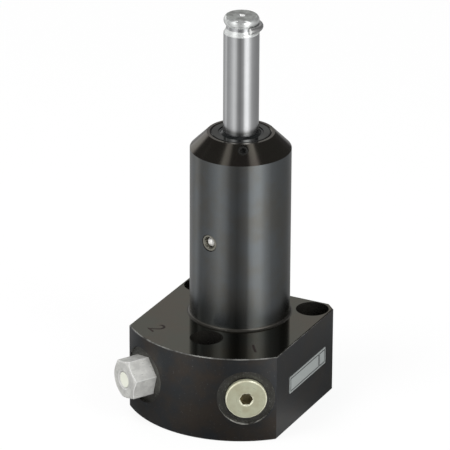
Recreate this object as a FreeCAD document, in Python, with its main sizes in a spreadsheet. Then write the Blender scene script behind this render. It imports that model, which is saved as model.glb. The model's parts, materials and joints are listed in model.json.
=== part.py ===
"""Single-acting swing clamp cylinder with a lower flange, right-turning, plunger up.

The frame: millimetres, +Z up along the plunger. The origin is on the plunger's axis in the
underside of the flange. Angles round that axis count from the front (-Y), positive towards +X.
Every size is a cell of the sheet "Sizes". The texts below it are lengths worked out from the cells.
"""

import FreeCAD, Part
import math
import os
import re
import Sketcher
from FreeCAD import Placement, Rotation, Vector

SIZES = {
    # Flange, in mm.
    "flange_width": 74.0,
    "flange_arc_radius": 52.2,
    "flange_back": 25.0,
    "flange_height": 40.5,
    "flange_corner": 4.0,
    "edge_break": 0.4,
    "foot_fillet": 1.2,
    "bolt_circle": 66.0,
    "bolt_hole": 9.0,
    "bolt_head_bore": 15.0,
    "bolt_head_depth": 9.0,
    # Ports, in mm and degrees.
    "port_angle": 30.0,
    "port_level": 21.5,
    "port_face": 50.5,
    "spotface_diameter": 26.0,
    "port_thread": 13.2,
    "port_depth": 14.0,
    "port_drill": 4.6,
    "manifold_radius": 38.0,
    "manifold_drill": 4.0,
    "manifold_recess": 10.0,
    "manifold_ring_section": 1.9,
    # Tube of the body.
    "body_diameter": 45.5,
    "body_top": 128.0,
    "cone_angle": 45.0,
    "top_land": 1.75,
    "bore_diameter": 22.0,
    "gland_diameter": 27.0,
    "gland_length": 12.0,
    "cap_diameter": 26.0,
    "cap_seat": 13.0,
    "clip_level": 1.8,
    "clip_thickness": 1.2,
    "clip_groove_depth": 0.7,
    "gallery_radius": 17.3,
    "gallery_diameter": 3.5,
    "gallery_top": 112.5,
    "gallery_ball_diameter": 4.2,
    "gallery_mouth_depth": 6.3,
    "oilway_diameter": 3.0,
    # Clearances.
    "joint_gap": 0.05,
    "running_gap": 0.05,
    "seal_gap": 0.03,
    "rod_gap": 0.1,
    "stop_gap": 0.3,
    # Gland and its rings.
    "bearing_width": 2.6,
    "bearing_depth": 1.5,
    "rod_seal_width": 3.0,
    "rod_seal_depth": 2.3,
    "wiper_width": 3.2,
    "wiper_depth": 2.1,
    "gland_wall": 1.0,
    "gland_ring_section": 1.9,
    "gland_chamfer": 0.45,
    # Lock screw in the cone.
    "screw_angle": 30.0,
    "screw_diameter": 5.0,
    "screw_offset": 2.7,
    "screw_recess": 0.9,
    "screw_length": 4.6,
    "screw_tip_gap": 0.6,
    "screw_socket": 2.5,
    # Guide ball and the plug behind it.
    "guide_angle": -11.0,
    "guide_level": 81.5,
    "guide_ball_diameter": 6.35,
    "guide_ball_reach": 11.6,
    "guide_bore_gap": 0.1,
    "guide_step": 15.5,
    "seat_pin_front": 13.2,
    "expander_diameter": 8.0,
    "expander_wall": 1.45,
    "expander_recess": 0.35,
    "expander_ball_diameter": 5.0,
    # Plunger.
    "rod_diameter": 16.0,
    "rod_top": 183.2,
    "head_face_diameter": 13.6,
    "head_height": 4.3,
    "head_bulge_radius": 2.59,
    "neck_diameter": 13.6,
    "neck_length": 1.5,
    "shoulder_height": 2.2,
    "centre_hole_diameter": 3.4,
    "centre_hole_angle": 60.0,
    "centre_pilot_diameter": 1.6,
    "centre_pilot_depth": 4.5,
    "ring_wire": 2.8,
    "ring_opening": 155.0,
    "ring_end_angle": 54.0,
    "skirt_foot": 46.0,
    "hollow_diameter": 13.0,
    "hollow_top": 96.0,
    "skirt_vent": 3.0,
    "skirt_vent_rise": 6.0,
    "piston_land": 1.9,
    "guide_ring_width": 2.0,
    "guide_ring_depth": 1.2,
    "piston_seal_width": 2.8,
    "piston_seal_depth": 2.3,
    "ring_land": 1.0,
    "plunger_chamfer": 0.6,
    # Motion.
    "swing_stroke": 12.0,
    "swing_turn": 90.0,
    "clamp_stroke": 10.0,
    "cam_gap": 0.12,
    "straight_cam_gap": 0.17,
    "cam_pocket_gap": 0.22,
    # Return spring and its seats.
    "spring_wire": 2.4,
    "spring_mean_diameter": 10.0,
    "spring_turns": 10.0,
    "seat_rim_thickness": 2.5,
    "seat_gap": 0.3,
    "spigot_diameter": 7.2,
    "spigot_length": 4.0,
    "pivot_ball_diameter": 5.0,
    "pivot_drop": 0.8,
    "pivot_cup_height": 2.4,
    # End cap.
    "cap_spigot_length": 3.0,
    "cap_ring_section": 1.9,
    "cap_jack_diameter": 5.0,
    "cap_jack_depth": 6.0,
    "clip_width": 2.2,
    "clip_opening": 40.0,
    "clip_ear_diameter": 4.0,
    "clip_hole_diameter": 1.6,
    # Port fittings.
    "plug_collar": 18.4,
    "plug_collar_thickness": 2.3,
    "plug_socket": 5.2,
    "plug_socket_depth": 5.0,
    "plug_chamfer": 0.5,
    "port_ring_thickness": 0.8,
    "vent_flats": 17.0,
    "vent_length": 11.5,
    "vent_turn": 14.0,
    "vent_face_diameter": 15.8,
    "vent_chamfer_angle": 30.0,
    "vent_bore": 4.0,
    "filter_diameter": 7.6,
    "filter_thickness": 1.6,
    "filter_recess": 0.4,
    "filter_lip": 0.6,
    "thread_gap": 0.1,
    "shank_length": 11.0,
}

BOLT_COUNT = 3
SPACES = ("clamp", "vent")

# Lengths worked out from the cells.
HALF_WIDTH = "(flange_width / 2)"
ARC_SIDE = f"(-sqrt(flange_arc_radius ^ 2 - {HALF_WIDTH} ^ 2))"
BODY_R = "(body_diameter / 2)"
BORE_R = "(bore_diameter / 2)"
GLAND_BORE_R = "(gland_diameter / 2)"
GLAND_R = f"({GLAND_BORE_R} - joint_gap)"
GLAND_SEAT = "(body_top - gland_length)"
TOP_R = f"({GLAND_BORE_R} + top_land)"
CONE_EDGE = f"(body_top - ({BODY_R} - {TOP_R}) * tan(cone_angle))"
CAP_BORE_R = "(cap_diameter / 2)"
CAP_R = f"({CAP_BORE_R} - joint_gap)"
CLIP_TOP = "(clip_level + clip_thickness)"
CLIP_R = f"({CAP_BORE_R} + clip_groove_depth)"
ROD_R = "(rod_diameter / 2)"
ROD_BORE_R = f"({ROD_R} + rod_gap)"
RING_R = f"({ROD_R} + seal_gap)"
SKIRT_R = f"({BORE_R} - running_gap)"
BALL_R = "(guide_ball_diameter / 2)"
BALL_BORE_R = f"({BALL_R} + guide_bore_gap)"
EXPANDER_R = "(expander_diameter / 2)"
PISTON_TOP = f"({GLAND_SEAT} - stop_gap)"
GUIDE_RING_TOP = f"({PISTON_TOP} - piston_land)"
GUIDE_RING_FOOT = f"({GUIDE_RING_TOP} - guide_ring_width)"
PISTON_SEAL_TOP = f"({GUIDE_RING_FOOT} - ring_land)"
PISTON_SEAL_FOOT = f"({PISTON_SEAL_TOP} - piston_seal_width)"
HEAD_FOOT = "(rod_top - head_height)"
NECK_FOOT = f"({HEAD_FOOT} - neck_length)"
SHOULDER_FOOT = f"({NECK_FOOT} - shoulder_height)"
NECK_R = "(neck_diameter / 2)"
HOLLOW_R = "(hollow_diameter / 2)"
PIVOT = "(hollow_top - pivot_drop)"
RIM_TOP = f"({PIVOT} - pivot_ball_diameter / 2 - joint_gap)"
SPRING_TOP = f"({RIM_TOP} - seat_rim_thickness)"
SPIGOT_R = "(spigot_diameter / 2)"
THREAD_R = "(port_thread / 2)"
SHANK_R = f"({THREAD_R} - thread_gap)"
COLLAR_FOOT = "(port_face + port_ring_thickness)"
COLLAR_FACE = f"({COLLAR_FOOT} + plug_collar_thickness)"
VENT_FACE = "(port_face + vent_length)"
SHANK_END = "(port_face - shank_length)"
SCREW_BORE_DEPTH = "(screw_recess + screw_length + screw_tip_gap)"
OILWAY_RUN = f"(gallery_radius - {BORE_R})"
OILWAY_RISE = f"({GLAND_SEAT} - gallery_top)"

WORD = re.compile(r"[a-z][a-z_]+")
X_AXIS = Vector(1, 0, 0)
Y_AXIS = Vector(0, 1, 0)
Z_AXIS = Vector(0, 0, 1)
RIGHT_ANGLE = 90.0
FULL_TURN = 360.0
OVER = 1.0
CLOSE = 1e-4

doc = FreeCAD.newDocument("swing_clamp_cylinder")
pieces = {}


def make_sheet():
    """Write every size into the sheet, one aliased cell each."""
    sheet = doc.addObject("Spreadsheet::Sheet", "Sizes")
    for row, (alias, number) in enumerate(SIZES.items(), start=1):
        sheet.set(f"A{row}", alias)
        sheet.set(f"B{row}", str(number))
        sheet.setAlias(f"B{row}", alias)
    doc.recompute()
    return sheet


sheet = make_sheet()


def linked(text):
    """Return the text with the sheet's name in front of each alias."""
    def cell(found):
        word = found.group()
        return f"Sizes.{word}" if word in SIZES else word

    return WORD.sub(cell, text)


def value(text):
    """Return the number that a text of sizes stands for."""
    return float(sheet.evalExpression(text))


def bind(target, **texts):
    """Bind each named property of the object to its text of sizes."""
    for name, text in texts.items():
        target.setExpression(name, linked(text))
    return target


def piece(name, shape_object):
    """Keep the object as the piece of that name."""
    shape_object.Label = name
    pieces[name] = shape_object
    return shape_object


def radial(angle, radius="0", level="0"):
    """Return the placement whose +X points outwards at that angle from the front, +Z up."""
    turn = Rotation(Z_AXIS, value(angle) - RIGHT_ANGLE)
    return Placement(turn.multVec(X_AXIS * value(radius)) + Z_AXIS * value(level), turn)


def origin_part(body, role):
    """Return the plane or axis of the body's own origin that has that role."""
    return next(item for item in body.Origin.OriginFeatures if item.Role == role)


def draw(body, role, name, outline):
    """Draw a closed outline of lines and arcs on an origin plane, each corner bound to its sizes.

    The outline lists corners (across, up). A third entry is the radius of the arc that leads to
    the next corner, bulging to its left when positive and to its right when it starts with a minus.
    """
    sketch = body.newObject("Sketcher::SketchObject", name)
    sketch.AttachmentSupport = [(origin_part(body, role), "")]
    sketch.MapMode = "FlatFace"
    corners = [Vector(value(corner[0]), value(corner[1]), 0) for corner in outline]
    for index, corner in enumerate(outline):
        start, end = corners[index], corners[(index + 1) % len(corners)]
        if len(corner) == 2:
            edge = sketch.addGeometry(Part.LineSegment(start, end))
        else:
            edge = sketch.addGeometry(arc_between(start, end, value(corner[2])))
        first, last = (1, 2) if (sketch.getPoint(edge, 1) - start).Length < CLOSE else (2, 1)
        for axis, text, own in (("DistanceX", corner[0], start.x), ("DistanceY", corner[1], start.y)):
            pin = sketch.addConstraint(Sketcher.Constraint(axis, -1, 1, edge, first, own))
            sketch.setExpression(f"Constraints[{pin}]", linked(text))
        if index:
            sketch.addConstraint(Sketcher.Constraint("Coincident", index - 1, before, edge, first))
        else:
            opening = first
        if len(corner) == 3:
            size = sketch.addConstraint(Sketcher.Constraint("Radius", edge, abs(value(corner[2]))))
            sketch.setExpression(f"Constraints[{size}]", linked(corner[2].lstrip("-")))
        before = last
    sketch.addConstraint(Sketcher.Constraint("Coincident", len(outline) - 1, before, 0, opening))
    return sketch


def arc_between(start, end, radius):
    """Return the short arc from start to end, bulging left when the radius is positive."""
    chord = end - start
    left = Vector(-chord.y, chord.x, 0).normalize()
    rise = abs(radius) - math.sqrt(radius ** 2 - (chord.Length / 2) ** 2)
    return Part.Arc(start, (start + end) / 2 + left * math.copysign(rise, radius), end)


def body_named(name):
    """Return a new empty body."""
    return doc.addObject("PartDesign::Body", name)


def revolve(body, sketch, axis="V_Axis", kind="PartDesign::Revolution"):
    """Turn the sketch once round its own axis, adding or cutting."""
    turned_feature = body.newObject(kind, f"{sketch.Name}_turned")
    turned_feature.Profile = sketch
    turned_feature.ReferenceAxis = (sketch, [axis])
    turned_feature.Angle = FULL_TURN
    sketch.Visibility = False
    return turned_feature


def turned(name, outline, axis="V_Axis"):
    """Return a body turned from an outline of (radius, height), or of (reach, radius) about X."""
    body = body_named(name)
    revolve(body, draw(body, "XZ_Plane", f"{name}_outline", outline), axis)
    doc.recompute()
    return body


def outwards(reach):
    """Return the placement that far out on +X, with its +Z along +X."""
    return Placement(X_AXIS * value(reach), Rotation(Y_AXIS, RIGHT_ANGLE))


def cylinder(name, radius, length, placement=None):
    """Return a cylinder along the placement's +Z."""
    solid = bind(doc.addObject("Part::Cylinder", name), Radius=radius, Height=length)
    solid.Placement = placement or Placement()
    return solid


def radial_cylinder(name, radius, near, far, angle, level):
    """Return a cylinder that points outwards from the axis at that angle and height."""
    return cylinder(name, radius, f"({far} - {near})", radial(angle, level=level) * outwards(near))


def sphere(name, radius, placement):
    """Return a sphere centred on the placement."""
    solid = bind(doc.addObject("Part::Sphere", name), Radius=radius)
    solid.Placement = placement
    return solid


def prism(name, flats, length, placement):
    """Return a hexagonal prism with that distance across its flats, along the placement's +Z."""
    solid = bind(doc.addObject("Part::Prism", name), Circumradius=f"{flats} / sqrt(3)", Height=length)
    solid.Polygon = 6
    solid.Placement = placement
    return solid


def torus(name, ring_radius, section_radius, placement):
    """Return a ring of round section about the placement's +Z."""
    solid = bind(doc.addObject("Part::Torus", name), Radius1=ring_radius, Radius2=section_radius)
    solid.Placement = placement
    return solid


def cut(name, base, tools):
    """Return the base with every tool taken out of it."""
    if len(tools) == 1:
        tool = tools[0]
    else:
        tool = doc.addObject("Part::MultiFuse", f"{name}_tools")
        tool.Shapes = tools
    result = doc.addObject("Part::Cut", name)
    result.Base = base
    result.Tool = tool
    doc.recompute()
    return result


def at(*texts):
    """Return the placement at that point, unturned."""
    return Placement(Vector(*(value(text) for text in texts)), Rotation())


def o_ring(name, outer_radius, section, level, placement=None):
    """Return a ring of round section that just reaches the outer radius."""
    place = (placement or Placement()) * at("0", "0", level)
    return piece(name, torus(name, f"({outer_radius} - {section} / 2)", f"({section} / 2)", place))


def make_body():
    """Body: flange block and tube turned and milled from one piece of steel, with its drillings."""
    body = body_named("body_block")
    outline = draw(body, "XY_Plane", "flange_outline", [
        (HALF_WIDTH, ARC_SIDE),
        (HALF_WIDTH, "flange_back - flange_corner"),
        (f"{HALF_WIDTH} - flange_corner", "flange_back"),
        (f"flange_corner - {HALF_WIDTH}", "flange_back"),
        (f"-{HALF_WIDTH}", "flange_back - flange_corner"),
        (f"-{HALF_WIDTH}", ARC_SIDE, "-flange_arc_radius"),
    ])
    block = body.newObject("PartDesign::Pad", "flange_pad")
    block.Profile = outline
    bind(block, Length="flange_height")
    doc.recompute()
    rims = [f"Face{number}" for number, face in enumerate(block.Shape.Faces, start=1)
            if abs(abs(face.normalAt(0, 0).z) - 1) < CLOSE]
    edges = body.newObject("PartDesign::Chamfer", "flange_edges")
    edges.Base = (block, rims)
    bind(edges, Size="edge_break")
    tube = draw(body, "XZ_Plane", "tube_outline", [
        ("0", "flange_height / 2"),
        (BODY_R, "flange_height / 2"),
        (BODY_R, CONE_EDGE),
        (TOP_R, "body_top"),
        ("0", "body_top"),
    ])
    tube_feature = revolve(body, tube)
    doc.recompute()
    foot = [f"Edge{number}" for number, edge in enumerate(tube_feature.Shape.Edges, start=1)
            if is_circle(edge, value(BODY_R), value("flange_height"))]
    fillet = body.newObject("PartDesign::Fillet", "foot_fillet_edge")
    fillet.Base = (tube_feature, foot)
    bind(fillet, Radius="foot_fillet")
    bore = draw(body, "XZ_Plane", "bore_outline", [
        ("0", f"-{OVER}"),
        (f"{CAP_BORE_R} + edge_break", f"-{OVER}"),
        (f"{CAP_BORE_R} + edge_break", "0"),
        (CAP_BORE_R, "edge_break"),
        (CAP_BORE_R, "clip_level"),
        (CLIP_R, "clip_level"),
        (CLIP_R, CLIP_TOP),
        (CAP_BORE_R, CLIP_TOP),
        (CAP_BORE_R, "cap_seat"),
        (BORE_R, "cap_seat"),
        (BORE_R, GLAND_SEAT),
        (GLAND_BORE_R, GLAND_SEAT),
        (GLAND_BORE_R, "body_top - gland_chamfer"),
        (f"{GLAND_BORE_R} + gland_chamfer", "body_top"),
        (f"{GLAND_BORE_R} + gland_chamfer", f"body_top + {OVER}"),
        ("0", f"body_top + {OVER}"),
    ])
    revolve(body, bore, kind="PartDesign::Groove")
    drill_bolt_holes(body)
    doc.recompute()
    tools = [tool for space, side in zip(SPACES, (1, -1)) for tool in port_tools(space, side)]
    tools += gallery_tools() + guide_bore_tools()
    tools.append(lock_screw_bore("screw_bore"))
    return piece("body", cut("body_drilled", body, tools))


def is_circle(edge, radius, level):
    """Tell whether an edge is the circle about the axis of that radius at that height."""
    curve = edge.Curve
    return (isinstance(curve, Part.Circle) and abs(curve.Radius - radius) < CLOSE
            and abs(curve.Center.z - level) < CLOSE and abs(curve.Center.x) < CLOSE)


def drill_bolt_holes(body):
    """Drill and counterbore the front bolt hole and repeat it round the bolt circle."""
    cuts = []
    for name, diameter, depth in (("bolt_hole", "bolt_hole", "flange_height"),
                                  ("bolt_head_bore", "bolt_head_bore", "bolt_head_depth")):
        sketch = body.newObject("Sketcher::SketchObject", f"{name}_circle")
        sketch.AttachmentSupport = [(origin_part(body, "XY_Plane"), "")]
        sketch.MapMode = "FlatFace"
        bind(sketch, **{"AttachmentOffset.Base.z": "flange_height"})
        reach = value("bolt_circle / 2")
        circle = Part.Circle(Y_AXIS * -reach, Z_AXIS, value(f"{diameter} / 2"))
        ring = sketch.addGeometry(circle)
        sketch.addConstraint(Sketcher.Constraint("PointOnObject", ring, 3, -2))
        pin = sketch.addConstraint(Sketcher.Constraint("DistanceY", -1, 1, ring, 3, -reach))
        sketch.setExpression(f"Constraints[{pin}]", linked("-bolt_circle / 2"))
        size = sketch.addConstraint(Sketcher.Constraint("Radius", ring, value(f"{diameter} / 2")))
        sketch.setExpression(f"Constraints[{size}]", linked(f"{diameter} / 2"))
        pocket = body.newObject("PartDesign::Pocket", f"{name}_pocket")
        pocket.Profile = sketch
        bind(pocket, Length=depth)
        cuts.append(pocket)
    doc.recompute()
    pattern = body.newObject("PartDesign::PolarPattern", "bolt_holes")
    pattern.Originals = cuts
    pattern.Axis = (origin_part(body, "Z_Axis"), [""])
    pattern.Angle = FULL_TURN
    pattern.Occurrences = BOLT_COUNT
    body.Tip = pattern


def port_tools(space, side):
    """Return the cutters of one port: spotface, thread bore, drilling and manifold drilling."""
    angle = f"{side} * port_angle"
    inner = "gallery_radius" if space == "clamp" else f"({BORE_R} - {OVER})"
    drill_end = "(port_face - port_depth)"
    steps = (("spotface", "spotface_diameter / 2", "port_face", f"(flange_arc_radius + {OVER})"),
             ("thread_bore", THREAD_R, drill_end, f"(port_face + {OVER})"),
             ("drilling", "port_drill / 2", inner, f"({drill_end} + {OVER})"))
    tools = [radial_cylinder(f"{space}_{name}", radius, near, far, angle, "port_level")
             for name, radius, near, far in steps]
    foot = radial(angle, "manifold_radius")
    tools.append(cylinder(f"{space}_manifold_drilling", "manifold_drill / 2", "port_level", foot))
    tools.append(cylinder(f"{space}_manifold_recess", "manifold_recess / 2", "manifold_ring_section", foot))
    return tools


def gallery_tools():
    """Return the cutters of the oil gallery from the clamp port up to the gland."""
    upright = radial("port_angle", "gallery_radius")
    gallery = cylinder("gallery", "gallery_diameter / 2", "gallery_top", upright)
    mouth = cylinder("gallery_mouth", "gallery_ball_diameter / 2 + joint_gap", "gallery_mouth_depth", upright)
    slope = Rotation(Y_AXIS, -value(f"atan2({OILWAY_RUN}; {OILWAY_RISE})"))
    start = radial("port_angle", "gallery_radius", "gallery_top - oilway_diameter / 2")
    oilway = cylinder("oilway", "oilway_diameter / 2", f"(sqrt({OILWAY_RUN} ^ 2 + {OILWAY_RISE} ^ 2))",
                      start * Placement(Vector(), slope))
    return [gallery, mouth, oilway]


def guide_bore_tools():
    """Return the cutters of the stepped bore that holds the guide ball."""
    return [
        radial_cylinder("guide_bore", BALL_BORE_R, f"({BORE_R} - {OVER})", f"(guide_step + {OVER})",
                        "guide_angle", "guide_level"),
        radial_cylinder("expander_bore", EXPANDER_R, "guide_step", f"({BODY_R} + {OVER})",
                        "guide_angle", "guide_level"),
    ]


def screw_axis():
    """Return the placement in the cone whose +Z points out along the lock screw."""
    slope = "cone_angle"
    centre = radial("screw_angle", f"{TOP_R} + screw_offset * cos({slope})",
                    f"body_top - screw_offset * sin({slope})")
    return centre * Placement(Vector(), Rotation(Y_AXIS, RIGHT_ANGLE - value(slope)))


def lock_screw_bore(name):
    """Return the cutter of the lock screw's hole, from outside the cone inwards."""
    start = at("0", "0", f"-{SCREW_BORE_DEPTH}")
    return cylinder(name, "screw_diameter / 2", f"({SCREW_BORE_DEPTH} + screw_diameter)", screw_axis() * start)


def make_gland():
    """Gland: screwed ring with grooves for its bearing, rod seal, wiper and O-ring."""
    ring_level = f"({GLAND_SEAT} + gland_wall + gland_ring_section / 2)"
    groove_r = f"({GLAND_BORE_R} - gland_ring_section)"
    bearing_foot = f"({GLAND_SEAT} + gland_wall)"
    bearing_top = f"({bearing_foot} + bearing_width)"
    seal_foot = f"({bearing_top} + gland_wall)"
    seal_top = f"({seal_foot} + rod_seal_width)"
    wiper_foot = "(body_top - wiper_width)"
    bearing_r = f"({ROD_R} + bearing_depth)"
    seal_r = f"({ROD_R} + rod_seal_depth)"
    wiper_r = f"({ROD_R} + wiper_depth)"
    half_groove = "(gland_ring_section / 2 + joint_gap)"
    blank = turned("gland_blank", [
        (ROD_BORE_R, GLAND_SEAT),
        (f"{GLAND_R} - gland_chamfer", GLAND_SEAT),
        (GLAND_R, f"{GLAND_SEAT} + gland_chamfer"),
        (GLAND_R, f"{ring_level} - {half_groove}"),
        (groove_r, f"{ring_level} - {half_groove}"),
        (groove_r, f"{ring_level} + {half_groove}"),
        (GLAND_R, f"{ring_level} + {half_groove}"),
        (GLAND_R, "body_top - gland_chamfer"),
        (f"{GLAND_R} - gland_chamfer", "body_top"),
        (wiper_r, "body_top"),
        (wiper_r, wiper_foot),
        (ROD_BORE_R, wiper_foot),
        (ROD_BORE_R, seal_top),
        (seal_r, seal_top),
        (seal_r, seal_foot),
        (ROD_BORE_R, seal_foot),
        (ROD_BORE_R, bearing_top),
        (bearing_r, bearing_top),
        (bearing_r, bearing_foot),
        (ROD_BORE_R, bearing_foot),
    ])
    piece("gland", cut("gland_spotted", blank, [lock_screw_bore("gland_spot")]))
    o_ring("gland_o_ring", GLAND_BORE_R, "gland_ring_section", ring_level)
    piece("rod_bearing", turned("rod_bearing_ring", [
        (RING_R, bearing_foot), (bearing_r, bearing_foot), (bearing_r, bearing_top), (RING_R, bearing_top)]))
    lip = "(rod_seal_width / 4)"
    piece("rod_seal", turned("rod_seal_ring", [
        (RING_R, seal_foot),
        (f"{RING_R} + {lip}", f"{seal_foot} + {lip}"),
        (f"{seal_r} - {lip}", f"{seal_foot} + {lip}"),
        (seal_r, seal_foot),
        (seal_r, seal_top),
        (f"{RING_R} + {lip}", seal_top),
        (RING_R, f"{seal_foot} + 2 * {lip}"),
    ]))
    piece("rod_wiper", turned("rod_wiper_ring", [
        (f"{ROD_BORE_R} + wiper_depth / 4", wiper_foot),
        (wiper_r, wiper_foot),
        (wiper_r, "body_top - edge_break"),
        (f"{ROD_BORE_R} + wiper_depth / 2", "body_top - edge_break"),
        (RING_R, "body_top + edge_break"),
        (RING_R, "body_top - edge_break"),
        (f"{ROD_BORE_R} + wiper_depth / 4", "body_top - wiper_width / 2"),
    ]))


def make_lock_screw():
    """Lock screw: socket set screw that holds the gland."""
    start = screw_axis() * at("0", "0", "-(screw_recess + screw_length)")
    blank = cylinder("lock_screw_blank", "screw_diameter / 2 - joint_gap", "screw_length", start)
    half_way = screw_axis() * at("0", "0", "-(screw_recess + screw_length / 2)")
    socket = prism("lock_screw_socket", "screw_socket", "screw_length", half_way)
    piece("gland_lock_screw", cut("gland_lock_screw_cut", blank, [socket]))


def make_guide():
    """Guide ball, its seat pin, and the expander plug that closes the bore."""
    out = radial("guide_angle", "0", "guide_level")
    ball_centre = out * at("guide_ball_reach", "0", "0")
    piece("guide_ball", sphere("guide_ball_solid", BALL_R, ball_centre))
    pin = radial_cylinder("seat_pin_blank", f"{BALL_R} + joint_gap / 2", "seat_pin_front", "guide_step",
                          "guide_angle", "guide_level")
    cup = sphere("seat_pin_cup", f"{BALL_R} + joint_gap / 2", ball_centre)
    piece("guide_ball_seat", cut("guide_ball_seat_cut", pin, [cup]))
    sleeve_face = f"({BODY_R} - expander_recess)"
    bore_r = f"({EXPANDER_R} - expander_wall)"
    ball_centre_reach = f"({sleeve_face} - expander_ball_diameter / 2 - edge_break)"
    bore_floor = f"({ball_centre_reach} - {bore_r})"
    sleeve = turned("expander_sleeve_turned", [
        ("guide_step", "0"),
        ("guide_step", EXPANDER_R),
        (f"{sleeve_face} - edge_break", EXPANDER_R),
        (sleeve_face, f"{EXPANDER_R} - edge_break"),
        (sleeve_face, f"{bore_r} + edge_break"),
        (f"{sleeve_face} - edge_break", bore_r),
        (bore_floor, bore_r),
        (bore_floor, "0"),
    ], "H_Axis")
    sleeve.Placement = out
    piece("expander_sleeve", sleeve)
    ball = sphere("expander_ball_solid", "expander_ball_diameter / 2",
                  out * at(ball_centre_reach, "0", "0"))
    piece("expander_ball", ball)


def make_end_cap():
    """End cap with its O-ring, and the circlip that holds it."""
    ring_level = f"(({CLIP_TOP} + cap_seat) / 2)"
    groove_r = f"({CAP_BORE_R} - cap_ring_section)"
    half_groove = "(cap_ring_section / 2 + joint_gap)"
    jack_r = "(cap_jack_diameter / 2)"
    piece("end_cap", turned("end_cap_turned", [
        (jack_r, CLIP_TOP),
        (CAP_R, CLIP_TOP),
        (CAP_R, f"{ring_level} - {half_groove}"),
        (groove_r, f"{ring_level} - {half_groove}"),
        (groove_r, f"{ring_level} + {half_groove}"),
        (CAP_R, f"{ring_level} + {half_groove}"),
        (CAP_R, "cap_seat - edge_break"),
        (f"{CAP_R} - edge_break", "cap_seat"),
        (SPIGOT_R, "cap_seat"),
        (SPIGOT_R, "cap_seat + cap_spigot_length - edge_break"),
        (f"{SPIGOT_R} - edge_break", "cap_seat + cap_spigot_length"),
        ("0", "cap_seat + cap_spigot_length"),
        ("0", f"{CLIP_TOP} + cap_jack_depth + {jack_r} / 2"),
        (jack_r, f"{CLIP_TOP} + cap_jack_depth"),
    ]))
    o_ring("end_cap_o_ring", CAP_BORE_R, "cap_ring_section", ring_level)
    make_circlip()
    seat = radial("port_angle", "gallery_radius", "gallery_mouth_depth - gallery_ball_diameter / 2")
    piece("gallery_ball", sphere("gallery_ball_solid", "gallery_ball_diameter / 2", seat))


def make_circlip():
    """Circlip: flat spring ring, widest at the back, open at the front between two eared ends."""
    outer_r = f"({CLIP_R} - joint_gap)"
    inner_r = f"({outer_r} - clip_width)"
    ear_r = "(clip_ear_diameter / 2)"
    reach = f"({outer_r} - {ear_r} - clip_groove_depth)"
    ring = cylinder("circlip_disc", outer_r, "clip_thickness", at("0", "0", "clip_level"))
    hollow = cylinder("circlip_hollow", inner_r, f"clip_thickness + 2 * {OVER}",
                      at("0", "0", f"clip_level - {OVER}"))
    gap = cylinder("circlip_gap", f"{outer_r} + {OVER}", f"clip_thickness + 2 * {OVER}",
                   radial("-clip_opening / 2", level=f"clip_level - {OVER}"))
    bind(gap, Angle="clip_opening")
    ears, holes = [], []
    for side in (1, -1):
        place = radial(f"{side} * clip_opening / 2", reach, "clip_level")
        ears.append(cylinder(f"circlip_ear_{len(ears)}", ear_r, "clip_thickness", place))
        holes.append(cylinder(f"circlip_hole_{len(holes)}", "clip_hole_diameter / 2", "clip_thickness", place))
    open_ring = cut("circlip_open", ring, [hollow, gap])
    eared = doc.addObject("Part::MultiFuse", "circlip_eared")
    eared.Shapes = [open_ring] + ears
    piece("end_cap_circlip", cut("circlip_drilled", eared, holes))


def make_port_plug():
    """Port plug: collar plug with hex socket and its sealing ring."""
    out = radial("port_angle", "0", "port_level")
    socket_r = "(plug_socket / sqrt(3))"
    collar_r = "(plug_collar / 2)"
    blank = turned("port_plug_blank", [
        (SHANK_END, "0"),
        (SHANK_END, f"{SHANK_R} - plug_chamfer"),
        (f"{SHANK_END} + plug_chamfer", SHANK_R),
        (COLLAR_FOOT, SHANK_R),
        (COLLAR_FOOT, collar_r),
        (f"{COLLAR_FACE} - plug_chamfer", collar_r),
        (COLLAR_FACE, f"{collar_r} - plug_chamfer"),
        (COLLAR_FACE, f"{socket_r} + plug_chamfer / 2"),
        (f"{COLLAR_FACE} - plug_chamfer", f"{socket_r} - plug_chamfer / 2"),
        (f"{COLLAR_FACE} - plug_chamfer", "0"),
    ], "H_Axis")
    blank.Placement = out
    socket_floor = out * outwards(f"{COLLAR_FACE} - plug_socket_depth")
    quarter = Placement(Vector(), Rotation(Z_AXIS, RIGHT_ANGLE))
    socket = prism("port_plug_socket", "plug_socket", "plug_socket_depth", socket_floor * quarter)
    piece("port_plug", cut("port_plug_cut", blank, [socket]))
    seal = turned("port_plug_seal_ring", [
        ("port_face", THREAD_R),
        ("port_face", f"{collar_r} - plug_chamfer"),
        (COLLAR_FOOT, f"{collar_r} - plug_chamfer"),
        (COLLAR_FOOT, THREAD_R),
    ], "H_Axis")
    seal.Placement = out
    piece("port_plug_seal", seal)


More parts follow.
